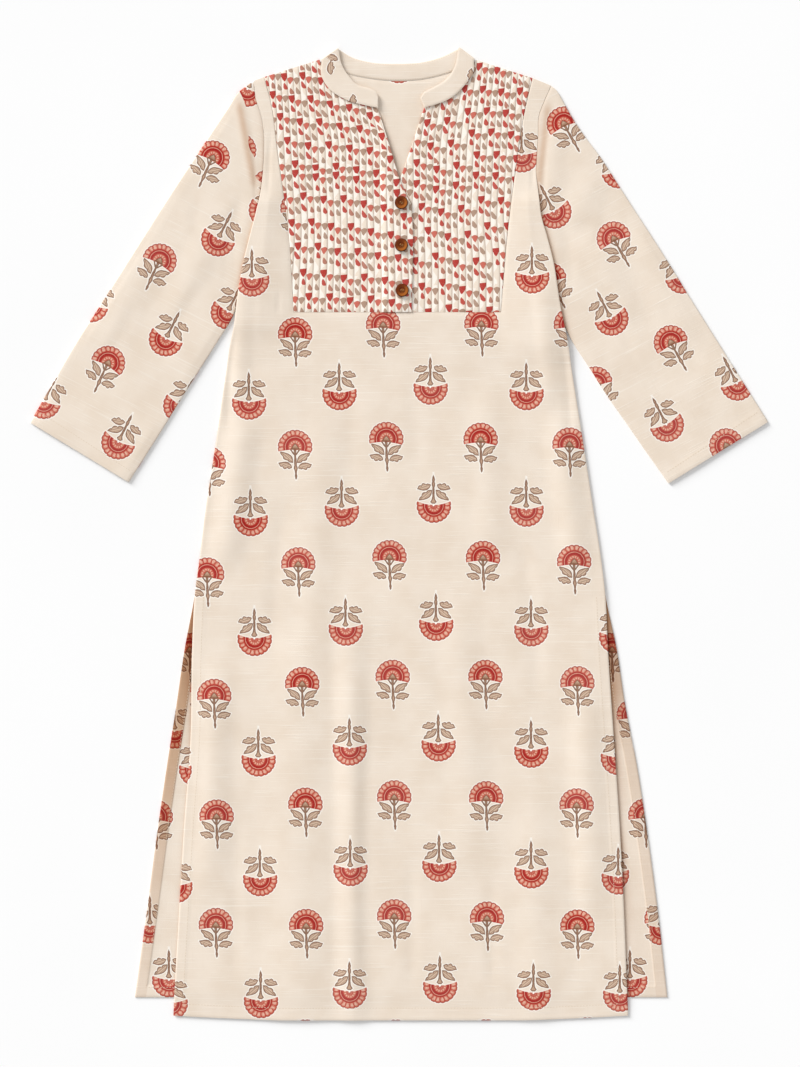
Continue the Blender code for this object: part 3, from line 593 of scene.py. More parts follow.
def either(plan, first, second, choose):
    """The first print's charts where a face's middle is chosen, and the second's everywhere else."""
    plan = plan.reshape(-1, 2)

    def both(title):
        def chart(corners):
            chosen = choose(*plan[corners].mean(axis=1).T)[:, None, None]
            return np.where(chosen, first[title](corners), second[title](corners))
        return chart

    return {title: both(title) for title in first}


def tuck_place(lines, x, y):
    """Which tuck a point lies in, and how far across it: the whole part and the rest of one number."""
    return (x - flow(lines, y, 1)) / flow(lines, y, 2)


def shield_maps(plan, lines, ends, chart):
    """Charts for the bib's print and tucks: each face reads the shield at or above it in its own tuck.

    "Ink" is the ink, 0 to 2, and a number of the shield's own from 0 to 1. "Strip" is the place across the
    tuck, from 0 to 1, and a shade.
    """
    x, y = plan.reshape(-1, 2).T
    place, pitch = tuck_place(lines, x, y), flow(lines, y, 2)
    tucks = np.arange(*ends)[:, None]
    group, colour = np.divmod(tucks - np.array(chart.starts), 3)
    sink = np.interp(group, np.arange(len(chart.sinks)) - 1, chart.sinks)
    middle = np.array(chart.levels) - sink - np.array(SHIELD_DROPS)[colour]
    middle = middle + 1.3 * np.sin(tucks * 12.9 + np.arange(middle.shape[1]) * 7.1)

    def find(corners):
        tuck = np.clip(np.floor(place[corners].mean(axis=1)).astype(int), *ends)
        line = np.minimum(tuck - ends[0], len(middle) - 1)
        above = middle[line] + SHIELD_TOP - y[corners].mean(axis=1)[:, None]
        row = np.where(above >= 0, above, np.inf).argmin(axis=1)
        return tuck, line, row

    def stamp(corners):
        tuck, line, row = find(corners)
        across = (place[corners] - tuck[:, None] - 0.5) * pitch[corners]
        return np.dstack([across, y[corners] - middle[line, row][:, None]])

    def ink(corners):
        _, line, row = find(corners)
        return per_face(colour[line, row], (line * GOLDEN + row * 0.414) % 1)

    def strip(corners):
        tuck, line, row = find(corners)
        shade = np.repeat(((line + row * 2)[:, None] * 0.382) % 1, 4, axis=1)
        return np.dstack([place[corners] - tuck[:, None], shade])

    return {"Stamp": stamp, "Ink": ink, "Strip": strip}


# ---------------------------------------------------------------- shader building
def srgb(*levels):
    """A linear colour from the levels, 0 to 255, that a screen shows."""
    return tuple(((level / 255 + 0.055) / 1.055) ** 2.4 for level in levels)


def adds(operation):
    """A method of Wire that adds a Math node of that operation."""
    return lambda wire, *others: wire.paint.math(operation, wire, *others)


class Wire:
    """An output socket. Arithmetic on it adds Math nodes."""

    __add__ = __radd__ = adds("ADD")
    __sub__ = adds("SUBTRACT")
    __mul__ = __rmul__ = adds("MULTIPLY")
    __truediv__ = adds("DIVIDE")
    __pow__ = adds("POWER")
    __abs__ = adds("ABSOLUTE")

    def __init__(self, paint, socket):
        self.paint, self.socket = paint, socket

    def __rsub__(self, other):
        return self.paint.math("SUBTRACT", other, self)

    def math(self, operation, *others):
        return self.paint.math(operation, self, *others)

    def least(self, *others):
        return reduce(adds("MINIMUM"), others, self)

    def most(self, *others):
        return reduce(adds("MAXIMUM"), others, self)

    def step(self, start, end):
        """0 before start, 1 past end, and a soft S between."""
        settings = {"interpolation_type": "SMOOTHSTEP"}
        return self.paint.node("MapRange", settings, {0: self, 1: start, 2: end})

    def band(self, middle, half):
        """1 at the middle, and 0 from `half` away on."""
        return abs(self - middle).step(half, half * 0.4)


DULLNESS = 0.08  # the specular level of every finish


class Paint:
    """The nodes of one material."""

    def __init__(self, name):
        self.material = bpy.data.materials.new(name)
        self.material.use_nodes = True
        self.tree = self.material.node_tree
        self.surface = self.tree.nodes["Principled BSDF"]

    def node(self, kind, settings=None, sockets=None, output=0):
        """A node of that kind with its settings, then its sockets' values or links; gives one output."""
        made = self.tree.nodes.new("ShaderNode" + kind)
        for key, value in (settings or {}).items():
            if key == "stops":
                made.color_ramp.elements.remove(made.color_ramp.elements[1])
                for number, (place, colour) in enumerate(value):
                    stops = made.color_ramp.elements
                    stop = stops.new(place) if number else stops[0]
                    stop.position, stop.color = place, (*colour, 1)
            else:
                setattr(made, key, value)
        for key, value in (sockets or {}).items():
            self.put(made.inputs[key], value)
        return Wire(self, made.outputs[output])

    def put(self, socket, value):
        """Link an output to a socket, or set the socket's own number or colour."""
        if isinstance(value, Wire):
            self.tree.links.new(value.socket, socket)
        elif socket.type == "RGBA":
            socket.default_value = (*value, 1)
        else:
            socket.default_value = value

    def math(self, operation, *values):
        return self.node("Math", {"operation": operation}, dict(enumerate(values)))

    def here(self):
        """The place on the object, in metres."""
        return self.node("TexCoord", output=3)

    def uv(self, title):
        return self.node("UVMap", {"uv_map": title})

    def attribute(self, title):
        """A number that the piece's points carry."""
        return self.node("Attribute", {"attribute_name": title}, output=2)

    def split(self, vector):
        """A vector's x and y."""
        parts = self.node("SeparateXYZ", None, {0: vector})
        return parts, Wire(self, parts.socket.node.outputs[1])

    def mix(self, share, under, over, blend="MIX"):
        """One colour over another, as far as `share` says."""
        settings = {"data_type": "RGBA", "blend_type": blend}
        return self.node("Mix", settings, {0: share, 6: under, 7: over}, 2)

    def layers(self, colour, *over):
        """The colour under others, each a share and a colour, laid on in order."""
        for share, top in over:
            colour = self.mix(share, colour, top)
        return colour

    def noise(self, vector, scale, detail=2.0):
        """Noise from 0 to 1; `scale` is one number, or one for each axis."""
        if not isinstance(scale, (int, float)):
            vector = self.node("VectorMath", {"operation": "MULTIPLY"}, {0: vector, 1: scale})
            scale = 1.0
        return self.node("TexNoise", None, {"Vector": vector, "Scale": scale, "Detail": detail})

    def shaded(self, colour, tone):
        """The colour, deepened by painted shade that fades with the piece's own "away" from where it goes
        in.
        """
        return self.mix((self.attribute("away") * -1).math("EXPONENT"), colour, tone, "MULTIPLY")

    def finish(self, colour, height, roughness=0.9, sheen=0.0, strength=0.35, distance=0.0004):
        """The material, with its surface given a colour and a bump that follows `height`."""
        bump = self.node("Bump", None, {"Strength": strength, "Distance": distance, "Height": height})
        for title, value in {
            "Base Color": colour, "Roughness": roughness, "Specular IOR Level": DULLNESS,
            "Sheen Weight": sheen, "Normal": bump,
        }.items():
            self.put(self.surface.inputs[title], value)
        return self.material


# ---------------------------------------------------------------- finishes
def cotton(paint, cloth, turn=0.0):
    """Slubby plain-woven cotton, its weft along X before `turn` degrees: its colour and its height."""
    grain = paint.node("Mapping", None, {"Vector": paint.here(), "Rotation": (0, 0, math.radians(-turn))})
    slub = paint.noise(grain, (20, 760, 1), 3).step(0.57, 0.70)
    long_slub = paint.noise(grain, (7, 420, 1), 2).step(0.62, 0.70)
    warp = paint.noise(grain, (700, 16, 1), 2).step(0.60, 0.74)
    cloudy = paint.noise(grain, 26, 3)
    x, y = paint.split(grain)
    thread = math.tau / (cloth.thread_pitch * 2)
    weave = (x * thread).math("SINE") * (y * thread).math("SINE")
    colour = paint.layers(
        cloth.cream,
        (cloudy.step(0.3, 0.75), cloth.cream_deep),
        ((slub * 0.55).most(long_slub * 0.45), cloth.slub_colour),
        (warp * 0.2, cloth.cream_deep),
    )
    return colour, weave * 0.35 + slub * 0.8 + warp * 0.4 + cloudy * 0.5


def leaf(side, y, base, tip, upper, lower, lobes):
    """A jagged leaf's inset (above 0 inside it), and the distance from its midrib.

    Its half width is a sine along the midrib, and its lower side has notches between rounded lobes.
    """
    run_x, run_y = tip[0] - base[0], tip[1] - base[1]
    length = math.hypot(run_x, run_y)
    cos, sin = run_x / length, run_y / length
    along = ((side - base[0]) * cos + (y - base[1]) * sin) / length
    aside = (y - base[1]) * cos - (side - base[0]) * sin
    inside = along.most(0).least(1)
    over = (inside**0.8 * math.pi).math("SINE") * upper - aside
    notch = 1 - (along * lobes + 0.1).math("PINGPONG", 0.5) * 2
    saw = 1 - notch * notch * 0.45
    under = (inside**1.1 * math.pi).math("SINE") ** 0.75 * saw * lower + aside
    return over.least(under, along * length + 0.3, (1 - along) * length), abs(aside)


# Half widths of the stem at heights under the bloom, for each block, and the ranges that hold them all.
STEM_BULB = (
    (-41.2, 0.0), (-39.6, 1.3), (-37, 1.7), (-33.6, 1.1), (-31, 1.4), (-28.6, 2.1), (-27, 2.7), (-25, 2.1),
    (-21, 1.7), (-12, 1.4), (-3, 1.9),
)
STEM_BUD = (
    (-39.6, 0.0), (-36, 1.2), (-33, 1.9), (-30, 1.6), (-28.2, 2.3), (-25.5, 2.0), (-22, 1.4), (-14, 1.5),
    (-9, 1.9), (-4.6, 4.2), (-2.7, 2.2),
)
STEM_LENGTH, STEM_WIDEST = 42, 5
DISC = 21.9  # the bloom's radius to its petals' tips
RINGS = 21  # the radius that its rings are set out on


def flower(paint, cloth, ink):
    """One printed flower over the cloth's colour, drawn in millimetres from the middle of its bloom.

    The bloom is a scalloped disc cut by a low arc: rings of ink about a red dome, then a ring of petals.
    Under it stand a calyx, a stem and two pairs of leaves, and a pale resist line runs round it all.
    """
    place = paint.uv("Stamp")
    x, y = paint.split(place)
    kind, shade = paint.split(paint.uv("Ink"))
    upright = 1 - kind
    blot = paint.noise(place, 1.0, 3)
    wobble = paint.noise(place, 0.33)
    x, y = x + (wobble - 0.5) * 1.3, y + (blot - 0.5) * 0.5 + (wobble - 0.5) * 0.8
    side = abs(x)
    radius = (x * x + y * y).math("SQRT")
    angle = x.math("ARCTAN2", y)
    lobe = (angle * (ink.petals / math.tau) + (wobble - 0.5) * 0.5).math("PINGPONG", 0.5) * 2
    level = kind * 2.8 - 3.8 - x * x * (kind * 0.0037 + 0.0068) - x * upright * 0.05
    full = (1.5 - shade) * 20  # above 0 where the whole flower is printed
    disc = (DISC - lobe.step(0.55, 0.0) * 0.8 - radius).least(y - level, full)

    reach = radius * (kind * 0.06 + 1) / RINGS
    red, deep, pale, salmon = ink.red, ink.deep_red, ink.pale, ink.salmon
    rings = paint.node("ValToRGB", {"stops": [
        (0.0, red), (0.20, red), (0.24, salmon), (0.38, salmon), (0.41, red), (0.43, red), (0.45, deep),
        (0.57, deep), (0.585, pale), (0.605, pale), (0.62, deep), (0.66, deep), (0.69, red),
        (0.73, salmon), (1.0, salmon),
    ]}, {0: reach})
    spoke = (angle * (13 / math.tau)).math("PINGPONG", 0.5) * 2
    ripe = (radius * 0.21).math("PINGPONG", 0.5) * 2
    dome = (spoke * ripe).step(0.35, 0.80) * reach.step(0.42, 0.36) * (1 - upright * 0.5)
    bead = spoke.step(0.35, 0.75) * reach.band(0.30, 0.075)
    outer = reach.step(0.69, 0.73)
    ray = (angle * (ink.petals * 1.5 / math.tau) + wobble).math("PINGPONG", 0.5) * 2
    heart = (lobe * 0.7 + ray * 0.3).step(0.20, 0.70) * reach.band(0.855, 0.16) * blot.step(0.22, 0.5)
    bloom = paint.layers(
        rings,
        ((dome * 0.5).most(blot.step(0.45, 0.6) * reach.step(0.44, 0.38) * 0.45), pale),
        (bead * 0.75, ink.petal_heart),
        (heart * 0.75, ink.petal_heart),
        (lobe.step(0.40, 0.06) * outer * 0.8, red),
        (disc.step(1.5, 0.6) * (y - level).step(0.9, 1.6) * 0.85, ink.outline),
        (blot.step(0.56, 0.78) * 0.25, pale),
        (blot.step(0.46, 0.30) * 0.35, deep),
    )

    tilt = y + x * upright * 0.046
    high, high_rib = leaf(side, tilt, (2.4, -20.2), (18.8, -6.4), 5.4, 4.6, 2.6)
    low, low_rib = leaf(side, tilt, (3.6, -26.4), (21.2, -20.8), 4.9, 5.2, 2.9)
    high = high.least(full)
    leaves = high.most(low)
    halves = []
    for table in (STEM_BULB, STEM_BUD):
        stops = [((h + STEM_LENGTH) / STEM_LENGTH, (w / STEM_WIDEST,) * 3) for h, w in table]
        halves.append(paint.node("ValToRGB", {"stops": stops}, {0: (y + STEM_LENGTH) / STEM_LENGTH}))
    half = paint.mix(kind, *halves) * STEM_WIDEST
    stem = (half - abs(x - 0.5 + (y + 20) * 0.045 * upright)) * 0.9
    stem = stem.least(y + 41.4, kind * 0.6 - 3.0 - y, full)
    domed = (6 - kind * 20).least(full)  # above 0 where the flower is whole and its calyx shows
    cone = (5.6 - (y + 2.6).most(0) ** 1.3 * 0.40 - side).least(y + 3.2, (5.6 - y) * 1.2, domed)
    bract = (1.0 - abs(side - 5.4 - (y + 3.7) * 0.7) * 0.82).least(-3.0 - y, y + 10, domed)
    green = leaves.most(stem, cone, bract)
    rib = leaves.step(0.8, 1.4) * high_rib.least(low_rib).step(0.55, 0.2)
    vein = high_rib.least(low_rib).math("PINGPONG", 1.25).step(0.5, 0.15) * leaves.step(1.2, 1.8)
    line = (green + (blot - 0.5) * 1.2).step(1.9, 1.0).most(rib * 0.85, vein * 0.7)
    leafy = paint.layers(
        ink.leaf,
        (leaves.step(1.3, 2.2) * 0.8, ink.leaf_light),
        (cone.step(0.0, 0.6) * 0.8, ink.calyx),
        (cone.step(0, 0.5) * y.step(-1.5, 2.5) * 0.7, ink.leaf_light),
        (line * 0.9, ink.leaf_line),
        (blot.step(0.52, 0.75) * 0.35, ink.leaf_light),
    )

    dot = (1.3 - ((x - 0.4) ** 2 + (y + 0.6) ** 2).math("SQRT")).least(kind * 20 - 10)
    shown = disc.most(green)
    resist = shown.step(-2.0, -0.5) * (0.62 + green.step(-1.2, -0.3) * 0.25)
    return paint.layers(
        cloth,
        (resist, ink.resist),
        (disc.step(-0.2, 0.3) * (0.98 - shade * 0.04), bloom),
        (dot.step(-0.2, 0.3), ink.resist),
        (green.step(-0.2, 0.3) * 0.96, leafy),
    )


def shields(paint, bib):
    """The bib's print in one tuck: a shield under each row's line, and a slanting drop of ink below it."""
    place = paint.uv("Stamp")
    x, y = paint.split(place)
    which, chance = paint.split(paint.uv("Ink"))
    across, shade = paint.split(paint.uv("Strip"))
    blot = paint.noise(place, 0.8, 3)
    x = x + (paint.noise(place, 0.22) - 0.5) * 2.2
    softer = which.least(1)
    lean = chance - 0.45
    top = 5.3 + x * 0.09 - softer * (x * x * 0.11 + 0.5)
    depth = ((5.4 - y) / (10.9 - softer * 0.7)).most(0).least(1.2)
    shield = ((1 - depth**2.7) * (4.3 - softer * 0.3) - abs(x + lean * depth * 2.2)).least(top - y)
    other = (chance * 5).math("FRACT")
    drop_y = y + 12.2 + (chance - 0.5) * 3.6
    drop_x = x - (0.9 - other * 1.5) * 1.6 + drop_y * (other * 0.4 + 0.1)
    drop = 1 - (drop_x / (2.5 + other * 0.5 - drop_y * 0.24)) ** 2 - (drop_y / (4.0 + other * 1.3)) ** 2
    second, third = which.step(0.4, 0.6), which.step(1.4, 1.6)
    shield_ink = paint.layers(bib.shield_red, (second, bib.shield_salmon), (third, bib.shield_taupe))
    drop_ink = paint.layers(bib.drop_red, (second, bib.drop_brown), (third, bib.shield_taupe))
    wave = x + (y * 0.30 + chance * 6).math("SINE") * 2.4 + (shade - 0.5) * 3
    # The tucks' stitched lines, darkened with painted shadow where each fold falls to its line.
    stitched = across.step(0.92, 0.985).most(across.step(0.05, 0.0))
    return paint.layers(
        bib.ground,
        (wave.step(-0.5, 0.5), bib.ground_deep),
        (wave.band(0.0, 0.55) * 0.22, bib.vein),
        (drop.step(-0.1, 0.22) * 0.93, drop_ink),
        (shield.step(-0.2, 0.3) * 0.96, shield_ink),
        (shield.band(0.5, 0.45) * softer * 0.35, bib.tuck_line),
        (blot.step(0.52, 0.8) * 0.22, bib.ground),
        (stitched * 0.55, bib.tuck_line),
    )


def flower_cotton(name, context):
    """Cream cotton with the flower print."""
    scene, paint = context.scene, Paint(name)
    colour, height = cotton(paint, scene.kurta_cloth)
    return paint.finish(flower(paint, colour, scene.kurta_print), height)


def sleeve_cotton(name, context, turn):
    """A sleeve's cotton: its print ends where its "cut" falls below 0, and painted shade deepens it in the
    armhole.
    """
    scene, paint = context.scene, Paint(name)
    cloth, height = cotton(paint, scene.kurta_cloth, turn)
    shown = paint.attribute("cut").step(-0.3, 0.3)
    colour = paint.mix(shown, cloth, flower(paint, cloth, scene.kurta_print))
    # Painted shade by the armhole's folds and along the body's edge.
    return paint.finish(paint.shaded(colour, scene.kurta_cloth.fold_shade_colour), height)


def banded_cotton(name, context):
    """The back's cotton: its turned hems show the darker right side with painted shade, and more painted
    shade where it goes in.
    """
    cloth, paint = context.scene.kurta_cloth, Paint(name)
    colour, height = cotton(paint, cloth)
    colour = flower(paint, colour, context.scene.kurta_print)
    # The hems' own darker tone, with painted shade that grows toward the slits' tops.
    colour = paint.mix(paint.attribute("hem"), colour, cloth.hem_and_shade_colour, "MULTIPLY")
    # Painted shade where the back goes in under the front and at the neck.
    return paint.finish(paint.shaded(colour, cloth.tucked_shade_colour), height)


def bib_cotton(name, context):
    """The bib's cotton with its shields."""
    scene, paint = context.scene, Paint(name)
    _, height = cotton(paint, scene.kurta_cloth)
    return paint.finish(shields(paint, scene.kurta_bib), height, strength=0.25)


def thread_cotton(name, colour):
    """Twisted sewing thread: fine slanting plies."""
    paint = Paint(name)
    ply = paint.noise(paint.here(), 1800)
    twisted = paint.mix(ply.step(0.35, 0.65), tuple(0.82 * c for c in colour), colour)
    return paint.finish(twisted, ply, roughness=0.7, sheen=0.2)


def coconut(name, buttons):
    """Polished coconut shell: turned rings, streaks across them and a darker rim."""
    paint = Paint(name)
    place = paint.uv("Face")
    x, y = paint.split(place)
    radius = (x * x + y * y).math("SQRT")
    streak = paint.noise(place, (0.30, 0.9, 1), 4)
    ring = (radius * 1.15 + streak * 1.6).math("PINGPONG", 0.5) * 2
    fleck = paint.noise(place, 3.2, 4)
    # More of the lighter wood toward each button's lower right, in the garment's frame.
    light = (x * 0.05 - y * 0.05 + streak).step(0.25, 0.85)
    colour = paint.layers(
        buttons.shell_dark,
        (light, buttons.shell_light),
        (ring.step(0.3, 0.9) * 0.35, buttons.shell_ring),
        (fleck.step(0.58, 0.72) * 0.4, buttons.shell_rim),
        (radius.step(6.9, 8.0).most(radius.band(3.5, 0.7) * 0.7), buttons.shell_rim),
    )
    return paint.finish(colour, fleck + ring * 0.4, roughness=0.32, strength=0.2, distance=0.0002)


# ---------------------------------------------------------------- surfaces
# The columns beside a panel's edge, in millimetres from it: they round it and follow the hem's step.
EDGE_COLUMNS = np.array([0, 0.7, 2.5, 6, 10, 12.9, 13.7, 14.5, 15.3])
EDGE_SHARE = 0.12  # of a side strip's width, the most that they take
HEM_ROWS, HEM_REACH = 14, 24  # the closer rows above a hem, and how high they go
SHOULDER_ROWS = 7  # between the shoulder line and the first level row


def body_plan(skirt, dip, row_step, middle_columns, side_columns):
    """x and y of a body panel's grid, and how many rows lie above the bib's lower seam.

    A row holds the left side strip, the bib's width and the right side strip. Each strip has the edge's
    own columns and then even ones; the first rows blend from the shoulder line to the row under it.
    """
    tall = np.linspace(TOP_Y, BIB_Y, round((TOP_Y - BIB_Y) / row_step) + 1)
    last = skirt[-1].y
    low = np.linspace(BIB_Y, last + HEM_REACH, round((BIB_Y - last - HEM_REACH) / row_step) + 1)
    hem = np.linspace(last + HEM_REACH, last, HEM_ROWS)
    level = np.concatenate([tall, low[1:], hem[1:]])
    left, right = outline(skirt, level, 0), outline(skirt, level, 1)
    bib_left = flow(YOKE_LEFT_EDGE, np.maximum(level, BIB_Y))
    bib_right = flow(YOKE_RIGHT_EDGE, np.maximum(level, BIB_Y))

    def strip(width):
        fixed = np.minimum(EDGE_COLUMNS / width[:, None], np.linspace(0, EDGE_SHARE, EDGE_COLUMNS.size))
        rest = np.linspace(fixed[:, -1], 1, side_columns + 1, axis=1)[:, 1:]
        return np.concatenate([fixed, rest], axis=1)

    def columns(a, b, c, d):
        middle = np.linspace(0, 1, middle_columns + 1)[1:-1]
        return np.concatenate([
            a[:, None] + strip(b - a) * (b - a)[:, None],
            b[:, None] + middle * (c - b)[:, None],
            d[:, None] - (strip(d - c) * (d - c)[:, None])[:, ::-1],
        ], axis=1)

    x = columns(left, bib_left, bib_right, right)
    y = np.repeat(level[:, None], x.shape[1], axis=1)
    ends = [ARMHOLE_TOP[0], YOKE_TOP[0], YOKE_TOP[1], ARMHOLE_TOP[1]]
    top_x = columns(*(np.array([end[0]]) for end in ends))[0]
    shoulder = np.interp(top_x, *zip(*ends[:2], *NECK_TOP, *ends[2:]))
    in_neck = (top_x > NECK_TOP[0][0]) & (top_x < NECK_TOP[1][0])
    top_y = np.where(in_neck, flow(NECK_BACK, top_x), shoulder)
    blend = np.linspace(1, 0, SHOULDER_ROWS + 1)[:-1, None]
    x = np.concatenate([top_x * blend + x[0] * (1 - blend), x])
    y = np.concatenate([top_y * blend + y[0] * (1 - blend), y])
    drop = smooth(y, last + 120, last)
    y = y + drop * (hem_edge(x, skirt, dip) - last)
    return x, y, len(blend) + len(tall) - 1


def panel_grids(x, y, under, over):
    """The grids of a panel's upper face and of its lower one."""
    return np.dstack([x, y, over]), np.dstack([x, y, under])


HALVINGS = 80  # enough for the bib's top edge to settle
TUCK_FOLD = 0.80  # where a tuck is highest, as a share of its width
TUCK_POINTS = (0.0, 0.10, 0.24, 0.40, 0.56, 0.70, TUCK_FOLD, 0.88, 0.94)


def bib_plan(lines, ends, left_edge, right_edge, shoulder, neck, levels=96):
    """x and y of a bib half, and the faces that it keeps.

    Columns follow the tucks down from the top edge, which is found by halving the distance to it, and stop
    at the bib's edges; a face with no width is cut.
    """
    place = np.concatenate([(np.arange(*ends)[:, None] + TUCK_POINTS).ravel(), [ends[1]]])
    (outer_x, outer_y), (neck_x, neck_y) = shoulder
    toward = math.copysign(NECK_UNDER, -neck_x)
    curve = [(neck_x, neck_y + 1.0), *neck]

    def across(y):
        x = flow(lines, y, 1) + place * flow(lines, y, 2)
        return np.clip(x, flow(left_edge, y), flow(right_edge, y))

    top = np.full(len(place), float(outer_y))
    for _ in range(HALVINGS):
        at = across(top)
        slope = outer_y + (at - outer_x) * (neck_y - outer_y) / (neck_x - outer_x)
        top = (top + np.minimum(slope, flow(curve, at - toward) + 1.0)) / 2
    down = np.linspace(0, 1, levels)[:, None]
    y = top * (1 - down) + (BIB_Y + SEAM) * down
    x = np.stack([across(row) for row in y])
    wide = np.diff(x, axis=1) > 1e-4
    return x, y, wide[:-1] | wide[1:]


def tuck_height(place, y, high):
    """The tucks' height over a bib half: a long rise to each fold, then a short fall to its stitched line.

    Each tuck stands a little unevenly along its length.
    """
    number = np.floor(place + 1e-6)
    across = place - number
    uneven = 0.86 + 0.14 * np.sin(y * 0.06 + number * 2.1) * np.sin(y * 0.023 + number * 1.3)
    rise = np.sin(np.clip(across / TUCK_FOLD, 0, 1) * math.pi / 2) ** 1.2
    return high * uneven * rise * smooth(across, 1.0, TUCK_FOLD)


COLLAR_FRONT_ROWS = 84  # along each front stretch of the collar


def collar_surface(across=14, back=96, turn=14):
    """The collar's middle surface: left front, over the left shoulder, round the back, and to the right.

    Each stretch is ruled between its seam and its free edge; a half circle joins the layers at a shoulder.
    """
    share = np.linspace(0, 1, across + 1)

    def strip(seam, free, count, z):
        a, b = spaced(seam, count), spaced(free, count)
        return raised(a[:, None] + share[None, :, None] * (b - a)[:, None], z)

    def over(line, down):
        a, b = np.array(line)
        run = unit(b - a)
        outward = np.array([-run[1], run[0]]) * math.copysign(1, run[0])
        angle = np.linspace(0, math.pi, turn + 1)[1:-1, None, None]
        radius = (COLLAR_FRONT_Z - COLLAR_BACK_Z) / 2
        flat = (a + share[:, None] * (b - a))[None] + outward * radius * np.sin(angle)
        z = (COLLAR_FRONT_Z + COLLAR_BACK_Z) / 2 + radius * np.cos(angle) * (1 if down else -1)
        return raised(flat, z[..., 0])

    neck = [(x, y + SEAM + 0.1) for x, y in NECK_BACK[1:-1]]
    left_seam = [*NECK_FRONT_LEFT[::-1], COLLAR_TURN_LEFT[0]]
    left_free = [*COLLAR_FREE_LEFT, COLLAR_TURN_LEFT[1]]
    right_seam = [*NECK_FRONT_RIGHT[::-1], COLLAR_TURN_RIGHT[0]]
    right_free = [*COLLAR_FREE_RIGHT, COLLAR_TURN_RIGHT[1]]
    back_seam = [COLLAR_TURN_LEFT[0], *neck, COLLAR_TURN_RIGHT[0]]
    back_free = [COLLAR_TURN_LEFT[1], *COLLAR_FREE_BACK, COLLAR_TURN_RIGHT[1]]
    return np.concatenate([
        strip(left_seam, left_free, COLLAR_FRONT_ROWS, COLLAR_FRONT_Z),
        over(COLLAR_TURN_LEFT, True),
        strip(back_seam, back_free, back, COLLAR_BACK_Z),
        over(COLLAR_TURN_RIGHT, False),
        strip(right_seam, right_free, COLLAR_FRONT_ROWS, COLLAR_FRONT_Z)[::-1],
    ])


ARM_BLEND = 0.3  # the armhole's curve has straightened out by this share of the sleeve
ARMHOLE_GAPS = (-SEAM - 0.05, 0.08)  # from each side's armhole edge to its sleeve
SLEEVE_LENGTH = 500  # about how long a sleeve is, for the width of its turned hem
FOLD_COLUMNS = 7  # round the half circle of a pressed fold
CUFF_ROW = -6  # the row that a cuff's stitches follow


def sleeve_plan(table, side, stations=150, across=56):
    """The front layer's x, y: stations down the sleeve by points from the outer fold to the inner one."""
    level = np.concatenate([[TOP_Y + 22], np.linspace(TOP_Y, UNDERARM_Y, 60)])
    edge = np.stack([outline(FRONT_SKIRT, level, side), level], axis=1)
    edge[0] = ARMHOLE_TOP[side]
    arm = spaced_straight(edge + (ARMHOLE_GAPS[side], 0), across)
    share = np.linspace(0, 1, across)[None, :, None]
    rows = np.array(table, float)
    rows[0] = [*arm[0], *arm[-1]]
    line = spaced(rows, stations, even=False)
    outer, inner = line[:, None, :2], line[:, None, 2:]
    down = np.linspace(0, 1, stations)[:, None, None]
    bulge = arm - (arm[0] + share[0] * (arm[-1] - arm[0]))
    return outer + share * (inner - outer) + bulge[None] * (1 - smooth(down, 0, ARM_BLEND))


def sleeve_rings(plan, rise, radius, folds, creases, hem):
    """Rings of a pressed tube: the front layer, the inner fold, the back layer, the outer fold."""
    start, end = unit(plan[:, 1] - plan[:, 0]), unit(plan[:, -2] - plan[:, -1])
    centre_start, centre_end = plan[:, 0] + start * rise, plan[:, -1] + end * rise
    inner = plan[:, 2:-2]
    flat = np.concatenate([centre_start[:, None], inner, centre_end[:, None]], axis=1)
    x, y = flat[..., 0], flat[..., 1]
    run = np.linspace(0, 1, len(plan))[:, None]
    share = np.linspace(0, 1, flat.shape[1])[None]
    middle = smooth(np.minimum(share, 1 - share), 0, 0.06) * smooth(run, 0, 0.02)
    free = middle * smooth(run, 0.03, 0.12)
    lift = fold_height(folds, x, y) * middle + sum(wrinkles(creases, x, y)) * free
    lift = np.maximum(lift, 0) + np.minimum(lift, 0) * 0.2
    lift = lift + hem * smooth((1 - run) * SLEEVE_LENGTH, CUFF_HEM + 1.5, CUFF_HEM - 1)
    front, back = raised(flat, rise + radius + lift), raised(flat, rise - radius)[:, ::-1]
    angles = np.radians(np.linspace(0, 180, FOLD_COLUMNS + 2)[1:-1])

    def fold(centre, inward, first_up):
        out = centre[:, None] - inward[:, None] * (radius * np.sin(angles))[None, :, None]
        return raised(out, rise + first_up * radius * np.cos(angles))

    return np.concatenate([front, fold(centre_end, end, 1), back, fold(centre_start, start, -1)], axis=1)


def mark(piece, title, value):
    """Give each point of a piece a number for its finish to read, from its place in millimetres."""
    points = np.zeros(len(piece.data.vertices) * 3, np.float32)
    piece.data.vertices.foreach_get("co", points)
    made = piece.data.attributes.new(title, "FLOAT", "POINT")
    made.data.foreach_set("value", value(*points.reshape(-1, 3).T / MM).astype(np.float32))


def unrolled(rings, layer):
    """Where the print lies on a sleeve: as it is in front, and mirrored in the outer fold behind."""
    flat = rings[..., :2]
    crease = flat[:, :1]
    along = np.gradient(flat[:, 0], axis=0)
    normal = np.stack([along[:, 1], -along[:, 0]], axis=-1)
    normal = unit(normal)[:, None]
    away = ((flat - crease) * normal).sum(axis=-1, keepdims=True)
    mirrored = flat - 2 * away * normal
    behind = (np.arange(flat.shape[1]) >= layer)[None, :, None]
    made = np.where(behind, mirrored, flat)
    return np.concatenate([made, made[:, :1]], axis=1)


# A stitch's rings: how far along it each is, and its share of the stitch's thickness.
STITCH_RINGS = ((0.0, 0.25), (0.2, 1.0), (0.8, 1.0), (1.0, 0.25))
STITCH_LIFT = 0.05  # how far a stitch's middle lies over the cloth


